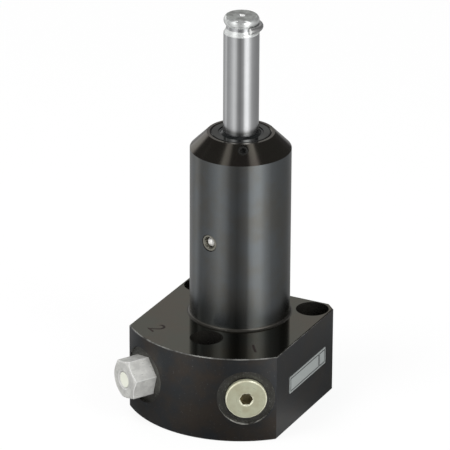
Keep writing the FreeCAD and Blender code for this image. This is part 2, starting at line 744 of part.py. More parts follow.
def make_vent():
    """Breather: hexagonal body with a bored shank, sealing ring and porous filter disc."""
    out = radial("-port_angle", "0", "port_level")
    face_r = "(vent_face_diameter / 2)"
    corner_r = "(vent_flats / sqrt(3) + edge_break)"
    filter_r = "(filter_diameter / 2)"
    slope = f"(({corner_r} - {face_r}) * tan(vent_chamfer_angle))"
    recess_floor = f"({VENT_FACE} - filter_recess - filter_thickness)"
    blank = turned("vent_envelope", [
        (SHANK_END, "vent_bore / 2"),
        (SHANK_END, f"{SHANK_R} - plug_chamfer"),
        (f"{SHANK_END} + plug_chamfer", SHANK_R),
        (COLLAR_FOOT, SHANK_R),
        (COLLAR_FOOT, f"{THREAD_R} + port_ring_thickness"),
        ("port_face", f"{THREAD_R} + port_ring_thickness"),
        ("port_face", corner_r),
        (f"{VENT_FACE} - {slope}", corner_r),
        (VENT_FACE, face_r),
        (VENT_FACE, f"{filter_r} + filter_lip"),
        (f"{VENT_FACE} - filter_recess", filter_r),
        (recess_floor, filter_r),
        (recess_floor, "vent_bore / 2"),
    ], "H_Axis")
    blank.Placement = out
    start = out * outwards(f"{SHANK_END} - {OVER}")
    turn = Placement(Vector(), Rotation(Z_AXIS, RIGHT_ANGLE + value("vent_turn")))
    hexagon = prism("vent_hexagon", "vent_flats", f"(shank_length + vent_length + 2 * {OVER})", start * turn)
    common = doc.addObject("Part::Common", "vent_common")
    common.Base = blank
    common.Tool = hexagon
    doc.recompute()
    piece("vent_body", common)
    filter_disc = turned("vent_filter_disc", [
        (recess_floor, "0"),
        (recess_floor, filter_r),
        (f"{VENT_FACE} - filter_recess", filter_r),
        (f"{VENT_FACE} - filter_recess", "0"),
    ], "H_Axis")
    filter_disc.Placement = out
    piece("vent_filter", filter_disc)
    seal = turned("vent_seal_ring", [
        ("port_face", THREAD_R),
        ("port_face", f"{THREAD_R} + port_ring_thickness"),
        (COLLAR_FOOT, f"{THREAD_R} + port_ring_thickness"),
        (COLLAR_FOOT, THREAD_R),
    ], "H_Axis")
    seal.Placement = out
    piece("vent_seal", seal)


def make_manifold_rings():
    """O-rings round the two drillings in the underside."""
    for space, side in zip(SPACES, (1, -1)):
        o_ring(f"manifold_o_ring_{space}", "(manifold_recess / 2)", "manifold_ring_section",
               "manifold_ring_section / 2", radial(f"{side} * port_angle", "manifold_radius"))


def cam_tools():
    """Return the cutters of the cam grooves in the plunger: quarter-turn helix, lift and straight pull.

    The guide ball starts in the lower pocket. The helix takes it a quarter turn round while the
    plunger drops by the swing stroke, then a straight groove takes it on by the clamp stroke.
    The second straight groove serves a clamp that pulls without swinging.
    """
    reach = value("guide_ball_reach")
    lead = value("swing_stroke") * FULL_TURN / value("swing_turn")
    helix = Part.makeHelix(lead, value("swing_stroke"), reach)
    tangent = Vector(0, 2 * math.pi * reach, lead).normalize()
    section = Part.Wire(Part.makeCircle(value(f"{BALL_R} + cam_gap"), X_AXIS * reach, tangent))
    swept = Part.Wire(helix.Edges).makePipeShell([section], True, True)
    groove = doc.addObject("Part::Feature", "cam_helix")
    groove.Shape = swept
    groove.Placement = radial("guide_angle", level="guide_level")
    end_angle = "(guide_angle + swing_turn)"
    upper = "(guide_level + swing_stroke)"
    full = "(swing_stroke + clamp_stroke)"
    tools = [groove]
    for name, angle, foot, length in (("lift", end_angle, upper, "clamp_stroke"),
                                      ("pull", "guide_angle", "guide_level", full)):
        base = radial(angle, "guide_ball_reach", foot)
        top = radial(angle, "guide_ball_reach", f"{foot} + {length}")
        tools.append(cylinder(f"cam_{name}", f"{BALL_R} + straight_cam_gap", length, base))
        tools.append(sphere(f"cam_{name}_foot", f"{BALL_R} + cam_pocket_gap", base))
        tools.append(sphere(f"cam_{name}_top", f"{BALL_R} + cam_pocket_gap", top))
    return tools


def make_plunger():
    """Plunger: rod, piston and cam skirt in one piece, with its rings."""
    seal_r = f"({SKIRT_R} - piston_seal_depth)"
    guide_r = f"({SKIRT_R} - guide_ring_depth)"
    hole_r = "(centre_hole_diameter / 2)"
    pilot_r = "(centre_pilot_diameter / 2)"
    cone_depth = f"(({hole_r} - {pilot_r}) / tan(centre_hole_angle / 2))"
    blank = turned("plunger_blank", [
        ("0", "hollow_top"),
        (HOLLOW_R, "hollow_top"),
        (HOLLOW_R, "skirt_foot + plunger_chamfer"),
        (f"{HOLLOW_R} + plunger_chamfer", "skirt_foot"),
        (f"{SKIRT_R} - plunger_chamfer", "skirt_foot"),
        (SKIRT_R, "skirt_foot + plunger_chamfer"),
        (SKIRT_R, PISTON_SEAL_FOOT),
        (seal_r, PISTON_SEAL_FOOT),
        (seal_r, PISTON_SEAL_TOP),
        (SKIRT_R, PISTON_SEAL_TOP),
        (SKIRT_R, GUIDE_RING_FOOT),
        (guide_r, GUIDE_RING_FOOT),
        (guide_r, GUIDE_RING_TOP),
        (SKIRT_R, GUIDE_RING_TOP),
        (SKIRT_R, f"{PISTON_TOP} - plunger_chamfer"),
        (f"{SKIRT_R} - plunger_chamfer", PISTON_TOP),
        (ROD_R, PISTON_TOP),
        (ROD_R, SHOULDER_FOOT),
        (NECK_R, NECK_FOOT),
        (NECK_R, HEAD_FOOT, "-head_bulge_radius"),
        ("head_face_diameter / 2", "rod_top"),
        (hole_r, "rod_top"),
        (pilot_r, f"rod_top - {cone_depth}"),
        (pilot_r, "rod_top - centre_pilot_depth"),
        ("0", "rod_top - centre_pilot_depth"),
    ])
    vent = cylinder("skirt_vent_hole", "skirt_vent / 2", "bore_diameter",
                    at("0", "0", "skirt_foot + skirt_vent_rise") * outwards(f"-{BORE_R}"))
    pocket = sphere("pivot_pocket", "pivot_ball_diameter / 2 + joint_gap", at("0", "0", PIVOT))
    piece("plunger", cut("plunger_cut", blank, [vent, pocket] + cam_tools()))
    piece("piston_seal", turned("piston_seal_ring", [
        (seal_r, PISTON_SEAL_FOOT), (f"{BORE_R} - seal_gap", PISTON_SEAL_FOOT),
        (f"{BORE_R} - seal_gap", PISTON_SEAL_TOP), (seal_r, PISTON_SEAL_TOP)]))
    piece("piston_guide_ring", turned("piston_guide_ring_turned", [
        (guide_r, GUIDE_RING_FOOT), (f"{BORE_R} - seal_gap", GUIDE_RING_FOOT),
        (f"{BORE_R} - seal_gap", GUIDE_RING_TOP), (guide_r, GUIDE_RING_TOP)]))


def make_arm_ring():
    """Retaining ring of the arm: an open ring of round wire in the neck of the plunger."""
    place = radial("ring_end_angle", level=f"({HEAD_FOOT} + {NECK_FOOT}) / 2")
    ring = torus("arm_ring", f"{NECK_R} + joint_gap + ring_wire / 2", "ring_wire / 2", place)
    bind(ring, Angle3="360 - ring_opening")
    piece("arm_retaining_ring", ring)


def make_spring_and_seat():
    """Return spring, and the seat and pivot ball that let the plunger turn on it."""
    ball_r = "(pivot_ball_diameter / 2)"
    seat = turned("spring_seat_blank", [
        ("0", f"{SPRING_TOP} - spigot_length"),
        (f"{SPIGOT_R} - edge_break", f"{SPRING_TOP} - spigot_length"),
        (SPIGOT_R, f"{SPRING_TOP} - spigot_length + edge_break"),
        (SPIGOT_R, SPRING_TOP),
        (f"{HOLLOW_R} - seat_gap", SPRING_TOP),
        (f"{HOLLOW_R} - seat_gap", RIM_TOP),
        (f"{ball_r} + pivot_cup_height", RIM_TOP),
        (f"{ball_r} + pivot_cup_height / 2", f"{RIM_TOP} + pivot_cup_height / 2"),
        ("0", f"{RIM_TOP} + pivot_cup_height / 2"),
    ])
    cup = sphere("seat_cup", f"{ball_r} + joint_gap / 2", at("0", "0", PIVOT))
    piece("spring_seat", cut("spring_seat_cut", seat, [cup]))
    piece("pivot_ball", sphere("pivot_ball_solid", ball_r, at("0", "0", PIVOT)))
    make_spring()


def make_spring():
    """Return spring: round wire wound on a helix, ends ground flat on the cap and the seat."""
    foot, top = value("cap_seat"), value(SPRING_TOP)
    wire_r = value("spring_wire / 2")
    mean_r = value("spring_mean_diameter / 2")
    height = top - foot
    helix = Part.makeHelix(height / value("spring_turns"), height, mean_r)
    section = Part.Wire(Part.makeCircle(wire_r, X_AXIS * mean_r, Y_AXIS))
    coil = Part.Wire(helix.Edges).makePipeShell([section], True, True)
    wound = doc.addObject("Part::Feature", "spring_coil")
    wound.Shape = coil
    wound.Placement = at("0", "0", "cap_seat")
    ends = bind(doc.addObject("Part::Cylinder", "spring_ground_ends"), Radius=HOLLOW_R,
                Height=f"({SPRING_TOP} - cap_seat)")
    ends.Placement = at("0", "0", "cap_seat")
    ground = doc.addObject("Part::Common", "spring_ground")
    ground.Base = wound
    ground.Tool = ends
    doc.recompute()
    piece("return_spring", ground)


def check_document():
    """Stop if any object of the document failed or any piece isn't one sound shape."""
    doc.recompute()
    for item in doc.Objects:
        if {"Invalid", "Error"} & set(item.State):
            raise RuntimeError(f"{item.Label} did not build: {item.State}")
    for name, item in pieces.items():
        if item.Shape.isNull() or not item.Shape.isValid():
            raise RuntimeError(f"{name} has no valid shape")
        print(f"{name:24s} solids {len(item.Shape.Solids)} volume {item.Shape.Volume:10.1f}")


def write_pieces():
    """Write one STEP file for each piece."""
    os.makedirs("parts", exist_ok=True)
    for name, item in pieces.items():
        item.Shape.exportStep(os.path.join("parts", f"{name}.step"))


make_body()
make_gland()
make_lock_screw()
make_guide()
make_end_cap()
make_port_plug()
make_vent()
make_manifold_rings()
make_plunger()
make_arm_ring()
make_spring_and_seat()
check_document()
write_pieces()
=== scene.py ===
"""Looks of a single-acting swing clamp cylinder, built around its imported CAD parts.

Lengths in the classes are millimetres in the part's own frame (+Z up along the plunger, front
towards -Y). Azimuths count from the front, positive towards +X. Meshes are made in metres.
"""

import json
import logging
import math
from collections.abc import Callable
from dataclasses import dataclass
from enum import Enum, IntEnum, auto

import bmesh
import bpy
from mathutils import Matrix, Vector


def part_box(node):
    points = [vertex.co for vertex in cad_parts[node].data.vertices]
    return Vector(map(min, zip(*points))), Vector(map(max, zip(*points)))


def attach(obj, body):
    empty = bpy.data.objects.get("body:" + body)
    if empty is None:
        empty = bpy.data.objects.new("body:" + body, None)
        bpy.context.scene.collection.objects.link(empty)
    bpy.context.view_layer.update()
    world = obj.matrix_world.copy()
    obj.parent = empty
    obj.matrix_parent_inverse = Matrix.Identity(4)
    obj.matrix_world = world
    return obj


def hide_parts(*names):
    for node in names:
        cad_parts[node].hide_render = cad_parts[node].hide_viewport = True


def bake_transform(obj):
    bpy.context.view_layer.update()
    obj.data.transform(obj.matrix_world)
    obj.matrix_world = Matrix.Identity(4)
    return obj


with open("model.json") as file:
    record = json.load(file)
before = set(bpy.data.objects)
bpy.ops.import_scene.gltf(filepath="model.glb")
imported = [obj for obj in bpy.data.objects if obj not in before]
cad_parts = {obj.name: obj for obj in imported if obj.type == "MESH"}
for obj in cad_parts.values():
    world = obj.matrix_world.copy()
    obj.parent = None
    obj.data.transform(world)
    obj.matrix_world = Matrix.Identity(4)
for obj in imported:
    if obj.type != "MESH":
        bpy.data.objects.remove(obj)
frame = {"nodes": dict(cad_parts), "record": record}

LOG = logging.getLogger("clamp_cylinder")
MM = 0.001
MERGE_DISTANCE = 1e-6
FLAT_ANGLE = math.radians(0.2)
SHARP_ANGLE = math.radians(32)
SMOOTH_DOT = math.cos(math.radians(34))
FACET_ANGLE = math.radians(8)
TURNED_LEAN = 0.15
WALL_TILT = 0.1
FACING = 0.9
CLEAR = 1.0
TINY_AREA = 1e-12
CORNER_LAYER = "broken_corner"
GRAIN_SPACE = 0.2
QUARTER_TURN = 0.25
WHITE = (1, 1, 1, 1)
MIDDLE = Vector((0, 0, 0.08))

# the patterns that every finish shares
STAIN_EDGES = (0.38, 0.66)
CLOUD_SHARE = 0.8
FINE_SHARE = 0.2
FINE_SCALE = 1.7
FINE_BUMP = 0.3
SPECK_SCALE = 2.6
SPECK_SOFT = 0.03
SPECK_SHARE = 0.8

Shape = bmesh.types.BMesh
Face = bmesh.types.BMFace
Vert = bmesh.types.BMVert
Pair = tuple[float, float]
Triple = tuple[float, float, float]
FaceRule = Callable[[Vector, Vector], int]
EdgeRule = Callable[[Vector], bool]

# the materials made so far, by their finish's name
MADE: dict[str, bpy.types.Material] = {}


@dataclass(frozen=True)
class Axis:
    """A straight axis of the part: its azimuth and height, or upright where azimuth is None."""

    azimuth: float | None = None
    level: float = 0.0

    def matrix(self) -> Matrix:
        """Place a frame on the axis.

        Returns:
            The matrix whose +Z runs along the axis, in metres.
        """
        if self.azimuth is None:
            return Matrix.Translation((0, 0, self.level * MM))
        turn = Matrix.Rotation(math.radians(self.azimuth - 90), 4, "Z")
        tip = Matrix.Rotation(math.radians(90), 4, "Y")
        return Matrix.Translation((0, 0, self.level * MM)) @ turn @ tip

    def measure(self, point: Vector) -> tuple[Vector, float, float]:
        """Measure a point from the axis.

        Args:
            point: The point in millimetres.

        Returns:
            The axis's direction, the point's reach along it and its distance from it.
        """
        out = self.matrix().to_3x3() @ Vector((0, 0, 1))
        reach = point.dot(out)
        return out, reach, (point - out * reach - Vector((0, 0, self.level))).length


UPRIGHT = Axis()
PLUG_AXIS = Axis(30.0, 21.5)
VENT_AXIS = Axis(-30.0, 21.5)
GUIDE_AXIS = Axis(-11.0, 81.5)


class Signal:
    """A shader value that takes part in Python arithmetic."""

    def __init__(self, sheet: "NodeSheet", socket: bpy.types.NodeSocket) -> None:
        """Keep the socket and the node sheet that it belongs to."""
        self.sheet = sheet
        self.socket = socket

    def math(self, operation: str, *others: "Signal | float", first: bool = True) -> "Signal":
        """Return the value combined with others by one Math node.

        Args:
            operation: The Math node's operation.
            others: The other operands.
            first: Whether this value is the first operand.

        Returns:
            The node's result.
        """
        operands = [self, *others] if first else [*others, self]
        node = self.sheet.node("ShaderNodeMath", {"operation": operation}, dict(enumerate(operands)))
        return Signal(self.sheet, node.outputs[0])

    def __add__(self, other: "Signal | float") -> "Signal":
        """Add."""
        return self.math("ADD", other)

    __radd__ = __add__

    def __sub__(self, other: "Signal | float") -> "Signal":
        """Subtract."""
        return self.math("SUBTRACT", other)

    def __rsub__(self, other: float) -> "Signal":
        """Subtract from a number."""
        return self.math("SUBTRACT", other, first=False)

    def __mul__(self, other: "Signal | float") -> "Signal":
        """Multiply."""
        return self.math("MULTIPLY", other)

    __rmul__ = __mul__

    def __truediv__(self, other: "Signal | float") -> "Signal":
        """Divide."""
        return self.math("DIVIDE", other)

    def __abs__(self) -> "Signal":
        """Return the size without its sign."""
        return self.math("ABSOLUTE")

    def ramp(self, low: float, high: float, start: float = 0.0, end: float = 1.0) -> "Signal":
        """Return a smooth step from start at low to end at high."""
        return self.sheet.signal("ShaderNodeMapRange", {"interpolation_type": "SMOOTHSTEP"}, {
            "Value": self, "From Min": low, "From Max": high, "To Min": start, "To Max": end})

    def near(self, centre: float, half: float, soft: float) -> "Signal":
        """Return 1 within half of the centre, falling to 0 over the soft width."""
        return abs(self - centre).ramp(half, half + soft, 1.0, 0.0)


class NodeSheet:
    """The nodes of one material or world."""

    def __init__(self, tree: bpy.types.NodeTree) -> None:
        """Start from an empty tree."""
        self.tree = tree
        tree.nodes.clear()

    def node(self, kind: str, settings: dict | None = None, sockets: dict | None = None) -> bpy.types.Node:
        """Make one node.

        Args:
            kind: The node's type.
            settings: Its properties. "stops" holds a ramp's positions and colours.
            sockets: Numbers, colours, sockets or signals for its inputs, by name or index.

        Returns:
            The node.
        """
        made = self.tree.nodes.new(kind)
        for name, setting in (settings or {}).items():
            if name == "stops":
                self._fill_ramp(made.color_ramp, setting)
            else:
                setattr(made, name, setting)
        for key, given in (sockets or {}).items():
            source = given.socket if isinstance(given, Signal) else given
            if isinstance(source, bpy.types.NodeSocket):
                self.tree.links.new(source, made.inputs[key])
            else:
                made.inputs[key].default_value = source
        return made

    @staticmethod
    def _fill_ramp(ramp: bpy.types.ColorRamp, stops: list[Pair]) -> None:
        """Give a ramp its stops.

        Args:
            ramp: The ramp.
            stops: The position and the grey level of each stop.
        """
        while len(ramp.elements) < len(stops):
            ramp.elements.new(0.5)
        for element, (position, level) in zip(ramp.elements, stops):
            element.position = position
            element.color = (level, level, level, 1.0)

    def signal(self, kind: str, settings: dict | None = None, sockets: dict | None = None,
               out: str | int = 0) -> Signal:
        """Make one node and return one of its outputs as a signal."""
        return Signal(self, self.node(kind, settings, sockets).outputs[out])

    def mix(self, share: Signal, first: Signal | Triple, second: Signal | Triple) -> Signal:
        """Return the colour between first and second at that share."""
        one, two = (given if isinstance(given, Signal) else (*given, 1.0) for given in (first, second))
        return self.signal("ShaderNodeMix", {"data_type": "RGBA", "clamp_factor": True},
                           {0: share, 6: one, 7: two}, 2)

    def place(self, axis: Axis) -> Signal:
        """Make the coordinates that a pattern reads.

        Args:
            axis: The axis that the pattern runs round.

        Returns:
            The object coordinates in the axis's own frame, in millimetres.
        """
        local = self.signal("ShaderNodeTexCoord", out="Object")
        if axis != UPRIGHT:
            inverse = axis.matrix().inverted()
            local = self.signal("ShaderNodeMapping", None, {
                "Vector": local, "Location": inverse.to_translation(), "Rotation": inverse.to_euler()})
        return self.signal("ShaderNodeVectorMath", {"operation": "SCALE"}, {0: local, "Scale": 1 / MM})

    def split(self, vector: Signal) -> tuple[Signal, ...]:
        """Return the three parts of a vector."""
        node = self.node("ShaderNodeSeparateXYZ", None, {0: vector})
        return tuple(Signal(self, output) for output in node.outputs)

    def join(self, x: Signal | float, y: Signal | float, z: Signal | float) -> Signal:
        """Return the vector of three parts."""
        return self.signal("ShaderNodeCombineXYZ", None, {0: x, 1: y, 2: z})

    def glow(self, level: Signal | float) -> Signal:
        """Return white light of that brightness."""
        return self.signal("ShaderNodeEmission", None, {0: WHITE, "Strength": level})

    def blend(self, share: float | bpy.types.NodeSocket, first: Signal, second: Signal) -> Signal:
        """Return the mix of two shaders, with that share of the second."""
        return self.signal("ShaderNodeMixShader", None, {0: share, 1: first, 2: second})

    def radius(self, x: Signal, y: Signal) -> Signal:
        """Return the distance from the axis."""
        flat = self.join(x, y, 0.0)
        return self.signal("ShaderNodeVectorMath", {"operation": "LENGTH"}, {0: flat}, "Value")

    def noise(self, vector: Signal, scale: float, detail: float, roughness: float) -> Signal:
        """Return cloudy noise from 0 to 1."""
        return self.signal("ShaderNodeTexNoise", None,
                           {"Vector": vector, "Scale": scale, "Detail": detail, "Roughness": roughness})

    def line_noise(self, along: Signal, scale: float) -> Signal:
        """Return noise that changes along one number only."""
        return self.signal("ShaderNodeTexNoise", {"noise_dimensions": "1D"},
                           {"W": along, "Scale": scale, "Detail": 3.0, "Roughness": 0.6})


class Lay(Enum):
    """The direction in which a tool left its marks."""

    TURNED = auto()
    GROUND_ROUND = auto()
    FACED = auto()
    MILLED = auto()
    BRUSHED = auto()
    CAST = auto()


STRETCH = {Lay.MILLED: (0.12, 3.0, 3.0), Lay.BRUSHED: (2.5, 2.5, 0.15)}
ROUND_STRETCH = (2.0, 3.0)


@dataclass(frozen=True)
class Finish:
    """One metal, plastic or rubber surface: machining marks, stains, wear and any painted highlight or
    shade.

    Colours are linear. Marks is the depth of the tool marks in millimetres, spread is how much the
    roughness varies, and a speck shows where its noise passes the limit. Grain, from 0 to 1, says
    how far fine marks round the upright axis spread a reflection up and down.
    """

    name: str
    colour: Triple
    stain: Triple
    roughness: float
    metallic: float = 1.0
    lay: Lay = Lay.CAST
    axis: Axis = UPRIGHT
    marks: float = 0.003
    mark_scale: float = 2.0
    stain_scale: float = 0.06
    stain_share: float = 0.5
    spread: float = 0.08
    speck: Triple | None = None
    speck_limit: float = 0.74
    grain: float = 0.0

    def _marks(self, sheet: NodeSheet, place: Signal) -> Signal:
        """Make the pattern of tool marks.

        Args:
            sheet: The material's nodes.
            place: The coordinates in millimetres.

        Returns:
            The pattern, from 0 to 1.
        """
        x, y, z = sheet.split(place)
        if self.lay is Lay.TURNED:
            return sheet.line_noise(z + sheet.radius(x, y), self.mark_scale)
        if self.lay is Lay.FACED:
            return sheet.line_noise(sheet.radius(x, y), self.mark_scale)
        if self.lay is Lay.GROUND_ROUND:
            around, up = ROUND_STRETCH
            stretched = sheet.join(y.math("ARCTAN2", x) * around, z * up, 0.0)
            return sheet.noise(stretched, self.mark_scale, 5.0, 0.6)
        if self.lay in STRETCH:
            along, across, up = STRETCH[self.lay]
            return sheet.noise(sheet.join(x * along, y * across, z * up), self.mark_scale, 4.0, 0.6)
        return sheet.noise(place, self.mark_scale, 6.0, 0.65)

    def material(self) -> bpy.types.Material:
        """Make the finish's material, once only.

        Returns:
            The material.
        """
        if self.name in MADE:
            return MADE[self.name]
        made = MADE[self.name] = bpy.data.materials.new(f"finish_{self.name}")
        made.use_nodes = True
        sheet = NodeSheet(made.node_tree)
        place = sheet.place(self.axis)
        marks = self._marks(sheet, place)
        cloud = sheet.noise(place, self.stain_scale, 5.0, 0.6)
        fine = sheet.noise(place, FINE_SCALE, 3.0, 0.5)
        share = (cloud.ramp(*STAIN_EDGES) * CLOUD_SHARE + fine * FINE_SHARE) * (2.0 * self.stain_share)
        colour = sheet.mix(share, self.colour, self.stain)
        if self.speck:
            dots = sheet.noise(place, SPECK_SCALE, 1.0, 0.5)
            dots = dots.ramp(self.speck_limit, self.speck_limit + SPECK_SOFT)
            colour = sheet.mix(dots * SPECK_SHARE, colour, self.speck)
        roughness = self.roughness + (marks - 0.5) * self.spread + (cloud - 0.5) * self.spread
        bump = sheet.node("ShaderNodeBump", None, {
            "Strength": 1.0, "Distance": self.marks * MM, "Height": marks + fine * FINE_BUMP,
        })
        shader = sheet.node("ShaderNodeBsdfPrincipled", None, {
            "Base Color": colour,
            "Roughness": roughness,
            "Metallic": self.metallic,
            "Normal": bump.outputs[0],
        })
        if self.grain:
            shader.inputs["Anisotropic"].default_value = self.grain
            shader.inputs["Anisotropic Rotation"].default_value = QUARTER_TURN
        sheet.node("ShaderNodeOutputMaterial", None, {"Surface": shader.outputs[0]})
        made.diffuse_color = (*self.colour, 1.0)
        return made


OXIDE_TUBE = Finish(
    "oxide_tube", (0.19, 0.206, 0.216), (0.184, 0.18, 0.164), 0.21, lay=Lay.GROUND_ROUND, marks=0.0003,
    mark_scale=1.5, stain_share=0.45, spread=0.02, grain=1.0)
OXIDE_CONE = Finish(
    "oxide_cone", (0.17, 0.16, 0.135), (0.14, 0.12, 0.11), 0.15, lay=Lay.TURNED, marks=0.002, mark_scale=2.4,
    spread=0.05, grain=0.5)
OXIDE_TOP = Finish(
    "oxide_flange_top", (0.158, 0.158, 0.13), (0.172, 0.152, 0.122), 0.09, lay=Lay.MILLED, marks=0.0006,
    mark_scale=0.8, spread=0.05)
OXIDE_SIDE = Finish(
    "oxide_flange_side", (0.054, 0.06, 0.066), (0.082, 0.068, 0.056), 0.38, metallic=0.88, lay=Lay.MILLED,
    marks=0.004, mark_scale=0.7, spread=0.1, speck=(0.3, 0.3, 0.3))
OXIDE_FLAT = Finish(
    "oxide_flange_flat", (0.085, 0.089, 0.092), (0.1, 0.096, 0.09), 0.38, metallic=0.88, lay=Lay.MILLED,
    marks=0.004, mark_scale=0.7, speck=(0.3, 0.3, 0.3))
OXIDE_BORE = Finish(
    "oxide_bore", (0.12, 0.115, 0.1), (0.08, 0.075, 0.07), 0.26, metallic=0.88, marks=0.002, mark_scale=1.4)
OXIDE_SPOTFACE = Finish(
    "oxide_spotface", (0.12, 0.12, 0.11), (0.07, 0.065, 0.058), 0.34, metallic=0.84, lay=Lay.FACED,
    axis=PLUG_AXIS, marks=0.006, mark_scale=1.6, spread=0.12, speck=(0.4, 0.4, 0.37), speck_limit=0.66)
# Painted highlight: a light crescent colour on the wall of the port plug's spotface rim.
OXIDE_RIM_HIGHLIGHT = Finish(
    "oxide_rim_painted_highlight", (0.8, 0.8, 0.75), (0.08, 0.075, 0.07), 0.3, metallic=0.45, mark_scale=1.5, stain_scale=0.22,
    stain_share=0.62)
# Light colour on the flange's broken edges and chamfers: edge wear together with a painted edge highlight.
OXIDE_WORN_AND_LIT = Finish(
    "oxide_worn_and_lit_edge", (0.36, 0.36, 0.34), (0.07, 0.07, 0.065), 0.3, metallic=0.55, mark_scale=1.5,
    stain_scale=0.13, stain_share=0.6)
GLAND_FACE = Finish(
    "oxide_gland", (0.11, 0.112, 0.104), (0.055, 0.055, 0.052), 0.09, lay=Lay.FACED, marks=0.002)
ROD_GROUND = Finish(
    "rod_ground", (0.76, 0.77, 0.78), (0.7, 0.71, 0.72), 0.17, lay=Lay.GROUND_ROUND, marks=0.0003,
    spread=0.03, grain=0.9)
HEAD_TURNED = Finish(
    "head_turned", (0.74, 0.77, 0.74), (0.42, 0.43, 0.41), 0.16, lay=Lay.FACED, marks=0.03, mark_scale=1.1,
    stain_scale=0.3, stain_share=0.55, spread=0.12)
# Painted sheen: a whiter, partly matte copy of the ground steel on the head's barrel, standing in for its
# highlights.
HEAD_BARREL_SHEEN = Finish(
    "head_barrel_painted_sheen", (0.94, 0.96, 0.95), (0.68, 0.7, 0.69), 0.13, metallic=0.8, lay=Lay.TURNED, marks=0.01,
    mark_scale=2.5, spread=0.1)
# Painted sheen: a whiter, partly matte copy of the ground steel on the upward-facing shoulder, standing in
# for the bright sky it reflects.
ROD_SHOULDER_SHEEN = Finish(
    "rod_shoulder_painted_sheen", (0.92, 0.94, 0.93), (0.78, 0.8, 0.79), 0.2, metallic=0.66, lay=Lay.TURNED,
    mark_scale=3.0)
# Painted highlight: near-white, mostly matte colour on the centre hole's facets that face the front.
HEAD_CENTRE_HIGHLIGHT = Finish("head_centre_painted_highlight", (0.95, 0.95, 0.94), (0.8, 0.8, 0.8), 0.3, metallic=0.2, lay=Lay.FACED)
SCREW_OXIDE = Finish(
    "screw_oxide", (0.07, 0.07, 0.066), (0.04, 0.04, 0.037), 0.2, metallic=0.75, marks=0.002)
RING_WIRE = Finish("ring_wire", (0.6, 0.61, 0.6), (0.45, 0.45, 0.45), 0.16, metallic=0.85, marks=0.002)
SPRING_STEEL = Finish("spring_steel", (0.3, 0.3, 0.3), (0.22, 0.22, 0.23), 0.25, marks=0.001, mark_scale=1.0)
# The wire's cut ends: bare cut steel, made near-white and mostly matte as a painted glint.
WIRE_END_GLINT = Finish("wire_cut_end_glint", (0.95, 0.95, 0.94), (0.85, 0.85, 0.84), 0.25, metallic=0.25)
BALL_STEEL = Finish("ball_steel", (0.95, 0.94, 0.91), (0.9, 0.88, 0.84), 0.1, metallic=0.6, marks=0.0003)
SLEEVE_STEEL = Finish(
    "sleeve_steel", (0.34, 0.33, 0.28), (0.24, 0.23, 0.2), 0.22, metallic=0.85, lay=Lay.FACED,
    axis=GUIDE_AXIS, marks=0.002, mark_scale=3.0)
ZINC = Finish(
    "zinc_plate", (0.53, 0.54, 0.4), (0.44, 0.42, 0.29), 0.32, metallic=0.45, lay=Lay.FACED, axis=PLUG_AXIS,
    marks=0.012, mark_scale=1.3, stain_scale=0.15, spread=0.2)
# Painted highlight: a much lighter copy of the zinc plate on the plug's chamfers and broken edges.
ZINC_EDGE_HIGHLIGHT = Finish(
    "zinc_edge_painted_highlight", (0.95, 0.95, 0.76), (0.75, 0.72, 0.52), 0.25, metallic=0.5, lay=Lay.FACED, axis=PLUG_AXIS,
    marks=0.004, stain_scale=0.25)
# Painted shade: a darker copy of the zinc plate inside the hex socket.
ZINC_SOCKET_SHADE = Finish(
    "zinc_socket_painted_shade", (0.34, 0.3, 0.19), (0.2, 0.175, 0.115), 0.26, metallic=0.85, marks=0.004)
ALUMINIUM = Finish(
    "vent_aluminium", (0.68, 0.68, 0.65), (0.49, 0.49, 0.47), 0.32, metallic=0.35, lay=Lay.BRUSHED,
    axis=VENT_AXIS, marks=0.012, mark_scale=1.0, stain_scale=0.25, spread=0.25)
# Painted highlight: a lighter copy of the vent's aluminium on its broken edges.
ALUMINIUM_EDGE_HIGHLIGHT = Finish(
    "vent_edge_painted_highlight", (0.93, 0.93, 0.92), (0.85, 0.85, 0.84), 0.22, metallic=0.3, lay=Lay.BRUSHED, axis=VENT_AXIS,
    marks=0.002)
POROUS = Finish(
    "porous_plastic", (0.71, 0.72, 0.645), (0.64, 0.65, 0.56), 0.85, metallic=0.0, axis=VENT_AXIS,
    marks=0.03, mark_scale=5.0)
RUBBER = Finish(
    "nitrile_rubber", (0.016, 0.016, 0.017), (0.022, 0.022, 0.022), 0.55, metallic=0.0, marks=0.004)
URETHANE = Finish(
    "seal_urethane", (0.006, 0.007, 0.007), (0.012, 0.013, 0.013), 0.18, metallic=0.0, lay=Lay.TURNED,
    marks=0.002)
BRONZE_FILLED = Finish(
    "filled_ptfe", (0.23, 0.15, 0.085), (0.18, 0.11, 0.06), 0.5, metallic=0.0, lay=Lay.TURNED, marks=0.004)
PLAIN_STEEL = Finish(
    "machined_steel", (0.45, 0.45, 0.45), (0.36, 0.35, 0.34), 0.3, lay=Lay.TURNED, marks=0.004)
PLATE_SILVER = Finish(
    "plate_silver", (0.4, 0.43, 0.42), (0.36, 0.385, 0.38), 0.45, metallic=0.35, lay=Lay.MILLED,
    marks=0.002)
PLATE_DARK = Finish(
    "plate_dark", (0.035, 0.037, 0.04), (0.05, 0.05, 0.05), 0.5, metallic=0.2, lay=Lay.MILLED, marks=0.002)
STAMP_SHADE = Finish(
    "stamp_shade", (0.055, 0.04, 0.035), (0.04, 0.03, 0.028), 0.5, metallic=0.6, marks=0.002)


def link(made: bpy.types.Object) -> None:
    """Put an object into the scene."""
    bpy.context.scene.collection.objects.link(made)


def body_of(node: str) -> str:
    """Return the name of the CAD body that a node rides on."""
    bodies = frame["record"]["behaviour"]["bodies"]
    return next(body for body, members in bodies.items() if node in members)


